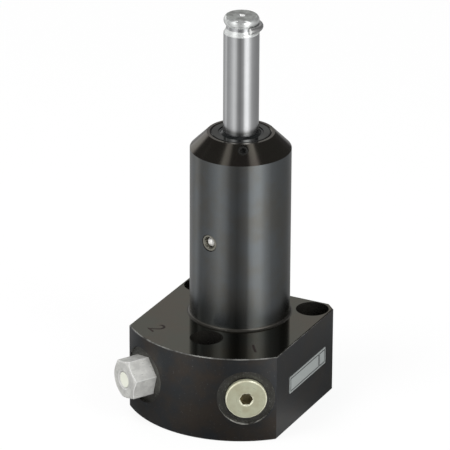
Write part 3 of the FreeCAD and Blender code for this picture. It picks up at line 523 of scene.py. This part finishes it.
def merged_copy(node: str) -> Shape:
    """Copy a CAD node's mesh and join its loose triangles.

    Args:
        node: The node's name.

    Returns:
        The copy, in metres in the part's frame.
    """
    shape = bmesh.new()
    shape.from_mesh(frame["nodes"][node].data)
    bmesh.ops.remove_doubles(shape, verts=shape.verts, dist=MERGE_DISTANCE)
    bmesh.ops.dissolve_degenerate(shape, dist=MERGE_DISTANCE, edges=shape.edges)
    return shape


class Shading:
    """Exact corner normals for a mesh of flats and turned surfaces with bevelled corners."""

    def __init__(self, shape: Shape, axis: Axis) -> None:
        """Sort the faces of a shape.

        Args:
            shape: The shape, in metres in the part's frame.
            axis: The axis that its turned surfaces run round.
        """
        shape.faces.ensure_lookup_table()
        self.shape = shape
        self.out = axis.matrix()
        self.back = self.out.inverted()
        self.corner = shape.faces.layers.int.get(CORNER_LAYER)
        self.turned = {face.index: self._is_turned(face) for face in shape.faces}

    @staticmethod
    def _azimuth_gap(normal: Vector, point: Vector) -> float:
        """Return the angle, folded into a quarter turn, between a normal and a point round the axis."""
        gap = math.atan2(normal.y, normal.x) - math.atan2(point.y, point.x)
        return abs((gap + math.pi / 2) % math.pi - math.pi / 2)

    def _is_turned(self, face: Face) -> bool:
        """Tell whether a face is a facet of a surface of revolution.

        Args:
            face: The face.

        Returns:
            True where its normal points from or to the axis at each of its corners.
        """
        normal = self.back.to_3x3() @ face.normal
        if math.hypot(normal.x, normal.y) < TURNED_LEAN:
            return False
        return all(self._azimuth_gap(normal, self.back @ vert.co) < FACET_ANGLE for vert in face.verts)

    def _normal_at(self, face: Face, vert: Vert) -> Vector:
        """Work out a face's own normal at one of its corners.

        Args:
            face: The face.
            vert: The corner's vertex.

        Returns:
            The normal of the flat or of the surface of revolution there.
        """
        if not self.turned[face.index]:
            return face.normal
        normal = self.back.to_3x3() @ face.normal
        point = self.back @ vert.co
        lean = math.hypot(normal.x, normal.y)
        radial = Vector((point.x, point.y, 0)).normalized()
        if radial.x * normal.x + radial.y * normal.y < 0:
            radial = -radial
        return self.out.to_3x3() @ Vector((radial.x * lean, radial.y * lean, normal.z))

    def normals(self) -> list[Vector]:
        """Return one normal for each corner, in the order of the mesh's loops."""
        return [self._blend(face, loop.vert) for face in self.shape.faces for loop in face.loops]

    def _is_corner(self, face: Face) -> bool:
        """Tell whether a face is a broken corner."""
        return bool(self.corner and face[self.corner])

    def _blend(self, face: Face, vert: Vert) -> Vector:
        """Average the normals round a vertex.

        Args:
            face: The face that the corner belongs to.
            vert: The corner's vertex.

        Returns:
            The mean normal of the faces that run smoothly into this one.
        """
        total = Vector()
        takes_corners = self._is_corner(face)
        for other in vert.link_faces:
            if self._is_corner(other) and not takes_corners:
                continue
            if other.normal.dot(face.normal) < SMOOTH_DOT:
                continue
            total += self._normal_at(other, vert) * (other.calc_area() + TINY_AREA)
        return total.normalized() if total.length else face.normal.copy()


def finished_object(name: str, mesh_source: Shape, finishes: list[Finish], body: str | None,
                    axis: Axis = UPRIGHT) -> bpy.types.Object:
    """Make a piece from a bmesh and set it on its body.

    Args:
        name: The piece's name.
        mesh_source: The shape, in metres in the part's frame. It is freed.
        finishes: The finishes, in the order of the faces' material numbers.
        body: The CAD body that the piece rides on, or None for a piece between two bodies.
        axis: The axis that its turned surfaces run round.

    Returns:
        The object, at the origin.
    """
    mesh = bpy.data.meshes.new(name)
    mesh_source.normal_update()
    normals = Shading(mesh_source, axis).normals()
    mesh_source.to_mesh(mesh)
    mesh_source.free()
    mesh.shade_smooth()
    mesh.normals_split_custom_set(normals)
    mesh.use_auto_texspace = False
    mesh.texspace_location = (0.0, 0.0, 0.0)
    mesh.texspace_size = (GRAIN_SPACE, GRAIN_SPACE, GRAIN_SPACE)
    for finish in finishes:
        mesh.materials.append(finish.material())
    piece = bpy.data.objects.new(name, mesh)
    link(piece)
    if body:
        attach(piece, body)
    LOG.info("%s: %d faces on %s", name, len(mesh.polygons), body or "two bodies")
    return piece


@dataclass
class Refined:
    """A CAD node taken over as one clean mesh, with its corners broken and its faces dressed.

    Attributes:
        node: The CAD node that the piece stands for.
        slot: The material slot that the record names for it; not used.
        finishes: The finishes that the rule numbers choose from.
        rule: Gives a face's finish number from its centre in millimetres and its normal.
        corners: Tells from a point in millimetres whether an edge there is broken.
        width: The width of a broken corner in millimetres, 0 for none.
        corner_finish: The finish number of the broken corners, -1 to keep the faces' own.
        axis: The axis that its turned surfaces run round.
    """

    node: str
    slot: str
    finishes: list[Finish]
    rule: FaceRule | None = None
    corners: EdgeRule | None = None
    width: float = 0.0
    corner_finish: int = -1
    axis: Axis = UPRIGHT

    def build(self) -> None:
        """Build the piece and hide the node that it stands for."""
        shape = merged_copy(self.node)
        for face in shape.faces:
            face.material_index = self.rule(face.calc_center_median() / MM, face.normal) if self.rule else 0
        if self.width:
            self._break_corners(shape)
        name = f"{self.node}_finished"
        piece = finished_object(name, shape, self.finishes, body_of(self.node), self.axis)
        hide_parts(self.node)

    def _break_corners(self, shape: Shape) -> None:
        """Bevel the outward sharp edges that the corner rule picks.

        Args:
            shape: The shape, in metres in the part's frame.
        """
        layer = shape.faces.layers.int.new(CORNER_LAYER)
        bmesh.ops.dissolve_limit(shape, angle_limit=FLAT_ANGLE, verts=shape.verts, edges=shape.edges,
                                 delimit={"MATERIAL"})
        picked = [
            edge for edge in shape.edges
            if edge.is_manifold and edge.is_convex and edge.calc_face_angle() > SHARP_ANGLE
            and (self.corners is None or self.corners((edge.verts[0].co + edge.verts[1].co) / (2 * MM)))
        ]
        made = bmesh.ops.bevel(shape, geom=picked, offset=self.width * MM, offset_type="OFFSET",
                               affect="EDGES", segments=2, profile=0.5, material=self.corner_finish,
                               clamp_overlap=True)
        for face in made["faces"]:
            face[layer] = 1


class BodyFace(IntEnum):
    """The kinds of face on the body, in the order of its finishes."""

    TUBE = 0
    CONE = 1
    TOP = 2
    SIDE = 3
    BORE = 4
    SPOTFACE = 5
    WORN_AND_LIT = 6
    RIM_HIGHLIGHT = 7
    FLAT = 8


@dataclass
class BodyBlock:
    """The one-piece body: flange block and tube."""

    half_width: float = 37.0
    arc_radius: float = 52.2
    back: float = 25.0
    rear_cut: float = 4.0
    height: float = 40.5
    tube_radius: float = 22.75
    tube_wall: float = 9.0
    fillet: float = 1.2
    cone_edge: float = 120.5
    spotface_plane: float = 50.5
    spotface_radius: float = 13.0
    near: float = 0.12
    margin: float = 0.5
    facet_sag: float = 0.4
    corner_width: float = 0.22
    corner_tilt: Pair = (0.5, 0.85)
    cone_tilt: float = 0.5

    def kind(self, centre: Vector, normal: Vector) -> int:
        """Choose a face's finish.

        Args:
            centre: The face's centre in millimetres.
            normal: The face's normal.

        Returns:
            Its kind of face.
        """
        radius = math.hypot(centre.x, centre.y)
        if centre.z > self.height - self.margin and radius < self.tube_radius + self.fillet + self.near:
            return self._tube_kind(centre, normal, radius)
        if normal.z > FACING and abs(centre.z - self.height) < self.near:
            return BodyFace.TOP
        on_arc = abs(radius - self.arc_radius) < self.near
        rear_reach = self.half_width + self.back - self.rear_cut
        on_flat = (abs(abs(centre.x) - self.half_width) < self.near or abs(centre.y - self.back) < self.near
                   or abs(abs(centre.x) + centre.y - rear_reach) < self.near)
        is_wall = abs(normal.z) < WALL_TILT
        if is_wall and (on_arc or on_flat):
            return BodyFace.FLAT if on_flat else BodyFace.SIDE
        steep, shallow = self.corner_tilt
        outer = on_arc or on_flat or radius > self.arc_radius - self.margin
        # Steep chamfers on the outline take the worn and painted-highlight edge finish.
        if steep < abs(normal.z) < shallow and outer:
            return BodyFace.WORN_AND_LIT
        if normal.z < -FACING and centre.z < self.near:
            return BodyFace.TOP
        for axis in (PLUG_AXIS, VENT_AXIS):
            out, reach, off_axis = axis.measure(centre)
            if is_wall and abs(reach - self.spotface_plane) < self.near and normal.dot(out) > FACING:
                return BodyFace.SPOTFACE
            on_rim = reach > self.spotface_plane and abs(off_axis - self.spotface_radius) < self.facet_sag
            # Only the port plug's rim takes the painted highlight; the vent's rim, in shade, stays dark.
            if axis == PLUG_AXIS and on_rim:
                return BodyFace.RIM_HIGHLIGHT
        return BodyFace.BORE

    def _tube_kind(self, centre: Vector, normal: Vector, radius: float) -> int:
        """Choose the finish of a face on the tube.

        Args:
            centre: The face's centre in millimetres.
            normal: The face's normal.
            radius: The centre's distance from the upright axis.

        Returns:
            Its kind of face.
        """
        is_bore = abs(normal.z) < WALL_TILT and radius < self.tube_radius - self.margin
        if is_bore or radius < self.tube_radius - self.tube_wall:
            return BodyFace.BORE
        if centre.z > self.cone_edge - self.near:
            return BodyFace.CONE if normal.z > self.cone_tilt else BodyFace.BORE
        on_fillet = centre.z < self.height + self.fillet and normal.z > WALL_TILT
        return BodyFace.BORE if on_fillet else BodyFace.TUBE

    def broken(self, point: Vector) -> bool:
        """Tell whether a sharp edge is broken.

        Args:
            point: The edge's middle in millimetres.

        Returns:
            True on the flange's outline, the spotfaces' rims and the foot of the cone.
        """
        radius = math.hypot(point.x, point.y)
        on_tube = abs(radius - self.tube_radius) < self.facet_sag
        at_cone = on_tube and abs(point.z - self.cone_edge) < self.near
        at_top = abs(point.z - self.height) < self.near and radius > self.tube_radius + self.fillet
        outside = radius > self.spotface_plane - self.near and self.near < point.z < self.height - CLEAR
        return at_top or at_cone or outside

    def build(self) -> None:
        """Build the body."""
        finishes = [OXIDE_TUBE, OXIDE_CONE, OXIDE_TOP, OXIDE_SIDE, OXIDE_BORE, OXIDE_SPOTFACE,
                    OXIDE_WORN_AND_LIT, OXIDE_RIM_HIGHLIGHT, OXIDE_FLAT]
        Refined("body", "black_oxide_steel", finishes, self.kind, self.broken, self.corner_width,
                BodyFace.WORN_AND_LIT).build()


class RodFace(IntEnum):
    """The kinds of face on the plunger, in the order of its finishes."""

    ROD = 0
    HEAD_FACE = 1
    SKIRT = 2
    BARREL_SHEEN = 3
    CENTRE_HIGHLIGHT = 4
    SHOULDER_SHEEN = 5


@dataclass
class Plunger:
    """The plunger with its round-wire retaining ring."""

    head_foot: float = 178.9
    shoulder_foot: float = 175.1
    top: float = 183.2
    piston_top: float = 115.7
    centre_radius: float = 1.5
    near: float = 0.05
    slope: float = 0.3

    def kind(self, centre: Vector, normal: Vector) -> int:
        """Choose a face's finish.

        Args:
            centre: The face's centre in millimetres.
            normal: The face's normal.

        Returns:
            Its kind of face.
        """
        if centre.z < self.piston_top + self.near:
            return RodFace.SKIRT
        if math.hypot(centre.x, centre.y) < self.centre_radius:
            # Centre hole facets that face the front carry the painted highlight; the others stay ground
            # steel.
            return RodFace.CENTRE_HIGHLIGHT if normal.y < -self.slope else RodFace.ROD
        if centre.z > self.top - self.near:
            return RodFace.HEAD_FACE
        if centre.z > self.head_foot + self.near:
            return RodFace.BARREL_SHEEN
        # Upward-facing faces of the shoulder take the painted sheen.
        on_sheen_shoulder = centre.z > self.shoulder_foot and normal.z > self.slope
        return RodFace.SHOULDER_SHEEN if on_sheen_shoulder else RodFace.ROD

    @staticmethod
    def wire_kind(centre: Vector, normal: Vector) -> int:
        """Return 1 for the cut ends of the wire, else 0."""
        across = Vector((-centre.y, centre.x, 0)).normalized()
        return 1 if abs(normal.dot(across)) > FACING else 0

    def build(self) -> None:
        """Build the plunger's visible pieces."""
        finishes = [ROD_GROUND, HEAD_TURNED, PLAIN_STEEL, HEAD_BARREL_SHEEN, HEAD_CENTRE_HIGHLIGHT, ROD_SHOULDER_SHEEN]
        Refined("plunger", "ground_steel", finishes, self.kind,
                lambda point: point.z > self.piston_top + CLEAR, width=0.18).build()
        Refined("arm_retaining_ring", "spring_steel", [RING_WIRE, WIRE_END_GLINT], self.wire_kind,
                width=0.3).build()


@dataclass
class TubeFittings:
    """The gland with its wiper and lock screw, and the expander plug in the tube's side."""

    top: float = 128.0

    def build(self) -> None:
        """Build the fittings."""
        # The gland's broken top edges take the black rubber finish: a painted dark ring of shade in the gaps
        # round the rod and the tube.
        Refined("gland", "black_oxide_steel", [GLAND_FACE, RUBBER],
                corners=lambda point: point.z > self.top - CLEAR, width=0.15, corner_finish=1).build()
        Refined("rod_wiper", "seal_polyurethane", [URETHANE]).build()
        Refined("gland_lock_screw", "black_oxide_steel", [SCREW_OXIDE], width=0.15).build()
        Refined("expander_sleeve", "bare_steel", [SLEEVE_STEEL], axis=GUIDE_AXIS).build()
        Refined("expander_ball", "ball_steel", [BALL_STEEL]).build()


class PlugFace(IntEnum):
    """The kinds of face on the port plug, in the order of its finishes."""

    COLLAR = 0
    SOCKET_SHADE = 1
    CHAMFER_HIGHLIGHT = 2


@dataclass
class PortFittings:
    """Port plug and breather."""

    collar_face: float = 53.6
    chamfer_depth: float = 1.5
    chamfer_tilt: Pair = (0.3, 0.95)
    socket_radius: float = 3.1
    socket_rim: float = 0.7

    def plug_kind(self, centre: Vector, normal: Vector) -> int:
        """Choose the finish of a face on the plug.

        Args:
            centre: The face's centre in millimetres.
            normal: The face's normal.

        Returns:
            Its kind of face.
        """
        out, reach, off_axis = PLUG_AXIS.measure(centre)
        low, high = self.chamfer_tilt
        # Chamfer faces take the painted highlight.
        if low < normal.dot(out) < high and reach > self.collar_face - self.chamfer_depth:
            return PlugFace.CHAMFER_HIGHLIGHT
        # Faces inside the socket take the painted shade.
        in_socket = off_axis < self.socket_radius and reach < self.collar_face - self.socket_rim
        return PlugFace.SOCKET_SHADE if in_socket else PlugFace.COLLAR

    def build(self) -> None:
        """Build both fittings."""
        Refined("port_plug", "zinc_plated_steel", [ZINC, ZINC_SOCKET_SHADE, ZINC_EDGE_HIGHLIGHT], self.plug_kind,
                width=0.4, corner_finish=PlugFace.CHAMFER_HIGHLIGHT, axis=PLUG_AXIS).build()
        # The vent's broken edges take the painted highlight.
        Refined("vent_body", "vent_aluminium", [ALUMINIUM, ALUMINIUM_EDGE_HIGHLIGHT], width=0.28, corner_finish=1,
                axis=VENT_AXIS).build()
        # The filter's broken edges take the grey steel finish: a painted dark ring of shade round the disc.
        Refined("vent_filter", "porous_plastic", [POROUS, PLAIN_STEEL], width=0.2, corner_finish=1,
                axis=VENT_AXIS).build()


@dataclass
class ReturnSpring:
    """The return spring in two halves.

    The lower one goes with the swing stroke, the upper one with the clamp stroke; neither is shortened here.
    """

    node: str = "return_spring"

    def _half(self, name: str, side: float, foot: float, top: float) -> None:
        """Build one half, which is set on no body.

        Args:
            name: The piece's name.
            side: 1 to keep what is below the cut, -1 to keep what is above it.
            foot: The height of its foot in metres.
            top: The height of its top in metres.
        """
        shape = merged_copy(self.node)
        cut = bmesh.ops.bisect_plane(shape, geom=[*shape.verts, *shape.edges, *shape.faces],
                                     dist=MERGE_DISTANCE, plane_co=(0, 0, top if side > 0 else foot),
                                     plane_no=(0, 0, side), clear_outer=True)
        rim = [piece for piece in cut["geom_cut"] if isinstance(piece, bmesh.types.BMEdge)]
        bmesh.ops.contextual_create(shape, geom=rim)
        bmesh.ops.recalc_face_normals(shape, faces=shape.faces)
        half = finished_object(name, shape, [SPRING_STEEL], None)
        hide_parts(self.node)
        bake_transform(half)

    def build(self) -> None:
        """Build both halves."""
        low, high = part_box(self.node)
        middle = (low.z + high.z) / 2
        self._half("return_spring_lower", 1.0, low.z, middle)
        self._half("return_spring_upper", -1.0, middle, high.z)


@dataclass
class NamePlate:
    """A bare plate on the flange's right side: silver field, dark frame line and an empty square."""

    face: float = 37.0
    thickness: float = 0.3
    y_front: float = -24.0
    y_back: float = 12.7
    z_low: float = 17.0
    z_high: float = 25.0
    margin: float = 1.0
    line: float = 0.45
    proud: float = 0.04
    square: float = 5.2

    @staticmethod
    def _slab(shape: Shape, low: Vector, high: Vector, number: int, corner: float) -> None:
        """Add a box with its long corners rounded.

        Args:
            shape: The shape that it joins.
            low: One corner in millimetres.
            high: The opposite corner.
            number: The finish number of its faces.
            corner: The radius of its corners in millimetres.
        """
        made = bmesh.ops.create_cube(shape, size=1.0, matrix=Matrix.Translation((low + high) / 2 * MM)
                                     @ Matrix.Diagonal((*((high - low) * MM), 1.0)))
        verts = made["verts"]
        edges = [edge for edge in {e for v in verts for e in v.link_edges}
                 if abs(edge.verts[0].co.x - edge.verts[1].co.x) > MERGE_DISTANCE]
        for face in {f for v in verts for f in v.link_faces}:
            face.material_index = number
        bmesh.ops.bevel(shape, geom=edges, offset=corner * MM, offset_type="OFFSET", affect="EDGES",
                        segments=3, profile=0.5, material=number)

    def _frame(self, shape: Shape, y_low: float, y_high: float, z_low: float, z_high: float) -> None:
        """Add the four bars of a frame line.

        Args:
            shape: The shape that they join.
            y_low: The frame's front side in millimetres.
            y_high: Its back side.
            z_low: Its lower side.
            z_high: Its upper side.
        """
        x_low, x_high = self.face + self.thickness - 0.01, self.face + self.thickness + self.proud
        half = self.line / 2
        bars = [(y_low - half, y_high + half, z - half, z + half) for z in (z_low, z_high)]
        bars += [(y - half, y + half, z_low + half, z_high - half) for y in (y_low, y_high)]
        for y_a, y_b, z_a, z_b in bars:
            self._slab(shape, Vector((x_low, y_a, z_a)), Vector((x_high, y_b, z_b)), 1, 0.02)

    def build(self) -> None:
        """Build the plate."""
        shape = bmesh.new()
        self._slab(shape, Vector((self.face - 0.02, self.y_front, self.z_low)),
                   Vector((self.face + self.thickness, self.y_back, self.z_high)), 0, 0.5)
        low, high = self.z_low + self.margin, self.z_high - self.margin
        right = self.y_back - self.margin
        self._frame(shape, self.y_front + self.margin, right - self.square - self.margin, low, high)
        self._frame(shape, right - self.square, right, low, high)
        finished_object("bare_plate", shape, [PLATE_SILVER, PLATE_DARK], "housing")


@dataclass
class Stamps:
    """Port numbers stamped in the flange's top face."""

    size: float = 11.5
    level: float = 40.5
    depth: float = 0.012
    marks: tuple[tuple[str, float, float, float], ...] = (
        ("2", -24.4, -34.6, -35),
        ("1", 24.3, -33.8, 36),
    )

    def build(self) -> None:
        """Build each number as a thin flat mesh."""
        for text, x, y, turn in self.marks:
            curve = bpy.data.curves.new(f"stamp_{text}", "FONT")
            curve.body = text
            curve.size = self.size * MM
            curve.align_x = curve.align_y = "CENTER"
            curve.extrude = self.depth * MM
            holder = bpy.data.objects.new(f"stamp_{text}_text", curve)
            link(holder)
            bpy.context.view_layer.update()
            mesh = bpy.data.meshes.new_from_object(holder)
            bpy.data.objects.remove(holder)
            shape = bmesh.new()
            shape.from_mesh(mesh)
            bmesh.ops.remove_doubles(shape, verts=shape.verts, dist=MERGE_DISTANCE)
            bmesh.ops.transform(shape, verts=shape.verts,
                                matrix=Matrix.Translation((x * MM, y * MM, self.level * MM))
                                @ Matrix.Rotation(math.radians(turn), 4, "Z"))
            finished_object(f"stamp_{text}", shape, [STAMP_SHADE], "housing")


class CarriedNodes:
    """The CAD nodes that are shown as they are, each with its finish."""

    nodes: dict[Finish, tuple[str, ...]] = {
        RUBBER: ("gland_o_ring", "end_cap_o_ring", "port_plug_seal", "vent_seal",
                 "manifold_o_ring_clamp", "manifold_o_ring_vent"),
        URETHANE: ("rod_seal", "piston_seal"),
        BRONZE_FILLED: ("rod_bearing", "piston_guide_ring"),
        BALL_STEEL: ("guide_ball", "gallery_ball", "pivot_ball"),
        PLAIN_STEEL: ("guide_ball_seat", "end_cap", "spring_seat"),
        SPRING_STEEL: ("end_cap_circlip",),
    }

    def build(self) -> None:
        """Dress each node."""
        for finish, names in self.nodes.items():
            for name in names:
                materials = frame["nodes"][name].data.materials
                materials.clear()
                materials.append(finish.material())


@dataclass
class Studio:
    """White floor, soft light and the camera.

    Attributes:
        floor_levels: What metal sees on the floor round the object: azimuth and brightness.
        sky_panels: Bright panels above the floor that metal sees: azimuth, its half width,
            elevation, its half height, and brightness.
        lamps: Each lamp's name, azimuth, elevation, distance, width and height in metres, and power.
    """

    floor_levels: tuple[Pair, ...] = (
        (-180, 0.28), (-130, 0.36), (-100, 0.42), (-86, 0.6), (-70, 0.33), (-50, 0.39), (-34, 0.54),
        (-20, 0.7), (-7, 0.57), (5, 0.29), (20, 0.2), (33, 0.31), (42, 0.42), (47, 0.82), (58, 1.1),
        (70, 1.12), (84, 0.68), (99, 0.39), (118, 0.3), (150, 0.24), (180, 0.28),
    )
    sky_panels: tuple[tuple[float, ...], ...] = (
        (-27, 12, 45, 20, 0.55),
        (74, 14, 45, 20, 0.78),
        (-115, 24, 6, 12, 0.6),
        (-150, 30, 26, 14, 0.33),
    )
    lamps: tuple[tuple[str, float, float, float, Pair, float], ...] = (
        ("key_lamp", -35, 58, 1.4, (0.5, 0.5), 9),
        ("side_lamp", 70, 35, 1.5, (0.5, 0.9), 7),
        ("fill_lamp", 35, 14, 1.5, (0.9, 0.3), 4),
    )
    panel_sides: Pair = (0.6, 1.4)
    panel_ends: Pair = (0.7, 0.6)
    sky_level: float = 0.08
    band_top: float = 1.2
    wall_gain: float = 2.0
    wall_cut: float = 0.45
    wall_fade: Pair = (24, 36)
    wall_span: Triple = (24, 100, 15)
    zenith_fade: Pair = (74, 84)
    zenith_level: float = 0.15
    diffuse_level: float = 0.75
    floor_radius: float = 4.0
    floor_drop: float = 0.0001
    near_floor: float = 0.06
    far_floor: float = 0.16
    near_level: float = 0.35
    paper: float = 0.85
    paper_share: float = 0.12
    camera_place: Triple = (0.7341, -1.46699, 0.79696)
    camera_right: Triple = (0.8924, 0.45124, 0)
    camera_up: Triple = (-0.18017, 0.35632, 0.91683)
    camera_roll: float = -0.278
    lens: float = 318.67
    sensor: float = 36.0

    @staticmethod
    def _azimuth(x: Signal, y: Signal) -> Signal:
        """Return the azimuth in degrees of a direction."""
        return x.math("ARCTAN2", y * -1.0) * math.degrees(1.0)

    def _band(self, sheet: NodeSheet, azimuth: Signal) -> Signal:
        """Make the brightness that metal sees low down.

        Args:
            sheet: The nodes of the floor or the world.
            azimuth: The azimuth in degrees.

        Returns:
            The brightness there.
        """
        stops = [((angle + 180) / 360, level / self.band_top) for angle, level in self.floor_levels]
        ramp = sheet.signal("ShaderNodeValToRGB", {"stops": stops}, {0: (azimuth + 180.0) / 360.0})
        return ramp * self.band_top

    def _floor(self) -> None:
        """Build the floor: white with its shadow to the camera, streaks to metal, paper to the rest."""
        shape = bmesh.new()
        bmesh.ops.create_circle(shape, cap_ends=True, segments=64, radius=self.floor_radius)
        mesh = bpy.data.meshes.new("floor")
        shape.to_mesh(mesh)
        shape.free()
        floor = bpy.data.objects.new("floor", mesh)
        floor.location.z = -self.floor_drop
        link(floor)
        material = bpy.data.materials.new("floor_white")
        material.use_nodes = True
        sheet = NodeSheet(material.node_tree)
        rays = sheet.node("ShaderNodeLightPath").outputs
        x, y, _ = sheet.split(sheet.signal("ShaderNodeTexCoord", out="Object"))
        fade = sheet.radius(x, y).ramp(self.near_floor, self.far_floor, self.near_level, 1.0)
        glow = sheet.glow(self._band(sheet, self._azimuth(x, y)) * fade)
        paper = sheet.signal("ShaderNodeBsdfDiffuse", None, {0: (*[self.paper] * 3, 1)})
        shown = sheet.blend(self.paper_share, sheet.glow(1.0), paper)
        seen = sheet.blend(rays["Is Camera Ray"], paper, shown)
        surface = sheet.blend(rays["Is Glossy Ray"], seen, glow)
        sheet.node("ShaderNodeOutputMaterial", None, {"Surface": surface})
        mesh.materials.append(material)

    def _world(self) -> None:
        """Make the world: white to the camera, streaks and panels to metal, plain light to the rest."""
        world = bpy.data.worlds.new("studio")
        bpy.context.scene.world = world
        world.use_nodes = True
        sheet = NodeSheet(world.node_tree)
        rays = sheet.node("ShaderNodeLightPath").outputs
        x, y, z = sheet.split(sheet.signal("ShaderNodeTexCoord", out="Generated"))
        azimuth = self._azimuth(x, y)
        elevation = z.math("ARCSINE") * math.degrees(1.0)
        wall = (self._band(sheet, azimuth) * self.wall_gain - self.wall_cut).math("MAXIMUM", 0.0)
        wall = wall * azimuth.near(*self.wall_span) * elevation.ramp(*self.wall_fade, 1.0, 0.0)
        seen = wall + elevation.ramp(*self.zenith_fade, 0.0, self.zenith_level) + self.sky_level
        inner, outer = self.panel_sides
        tall, soft = self.panel_ends
        for centre, half_width, height, half_height, level in self.sky_panels:
            away = abs(azimuth - centre)
            away = away.math("MINIMUM", 360.0 - away)
            across = away.ramp(half_width * inner, half_width * outer, 1.0, 0.0)
            seen = seen + across * elevation.near(height, half_height * tall, half_height * soft) * level
        metal = Signal(sheet, rays["Is Glossy Ray"])
        camera = Signal(sheet, rays["Is Camera Ray"])
        level = seen * metal + (1.0 - metal) * self.diffuse_level
        level = level * (1.0 - camera) + camera
        background = sheet.node("ShaderNodeBackground", None, {0: WHITE, "Strength": level})
        sheet.node("ShaderNodeOutputWorld", None, {0: background.outputs[0]})

    def _lights(self) -> None:
        """Add the soft rectangular lamps, which face the middle of the object."""
        for name, azimuth, elevation, distance, size, power in self.lamps:
            data = bpy.data.lights.new(name, "AREA")
            data.shape = "RECTANGLE"
            data.size, data.size_y = size
            data.energy = power
            lamp = bpy.data.objects.new(name, data)
            a, e = math.radians(azimuth), math.radians(elevation)
            away = Vector((math.sin(a) * math.cos(e), -math.cos(a) * math.cos(e), math.sin(e)))
            lamp.location = MIDDLE + away * distance
            lamp.rotation_mode = "QUATERNION"
            lamp.rotation_quaternion = (-away).to_track_quat("-Z", "Y")
            lamp.visible_glossy = False
            link(lamp)

    def _camera(self) -> None:
        """Place the camera that was fitted to the photo."""
        data = bpy.data.cameras.new("camera")
        data.sensor_width = self.sensor
        data.lens = self.lens
        data.clip_start, data.clip_end = 0.05, 20.0
        camera = bpy.data.objects.new("camera", data)
        right, up = Vector(self.camera_right), Vector(self.camera_up)
        roll = math.radians(self.camera_roll)
        across = (right * math.cos(roll) - up * math.sin(roll)).normalized()
        upward = (right * math.sin(roll) + up * math.cos(roll)).normalized()
        turn = Matrix((across, upward, across.cross(upward))).transposed().to_4x4()
        camera.matrix_world = Matrix.Translation(self.camera_place) @ turn
        link(camera)
        bpy.context.scene.camera = camera

    def build(self) -> None:
        """Build the studio."""
        self._floor()
        self._world()
        self._lights()
        self._camera()
        bpy.context.scene.view_settings.view_transform = "Standard"


def main() -> None:
    """Build the looks in order."""
    logging.basicConfig(level=logging.INFO, format="%(name)s: %(message)s")
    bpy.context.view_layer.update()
    for group in (BodyBlock(), Plunger(), TubeFittings(), PortFittings(), ReturnSpring(), NamePlate(),
                  Stamps(), CarriedNodes(), Studio()):
        group.build()
        LOG.info("%s done", type(group).__name__)
    bpy.context.view_layer.update()


if __name__ == "__main__":
    main()
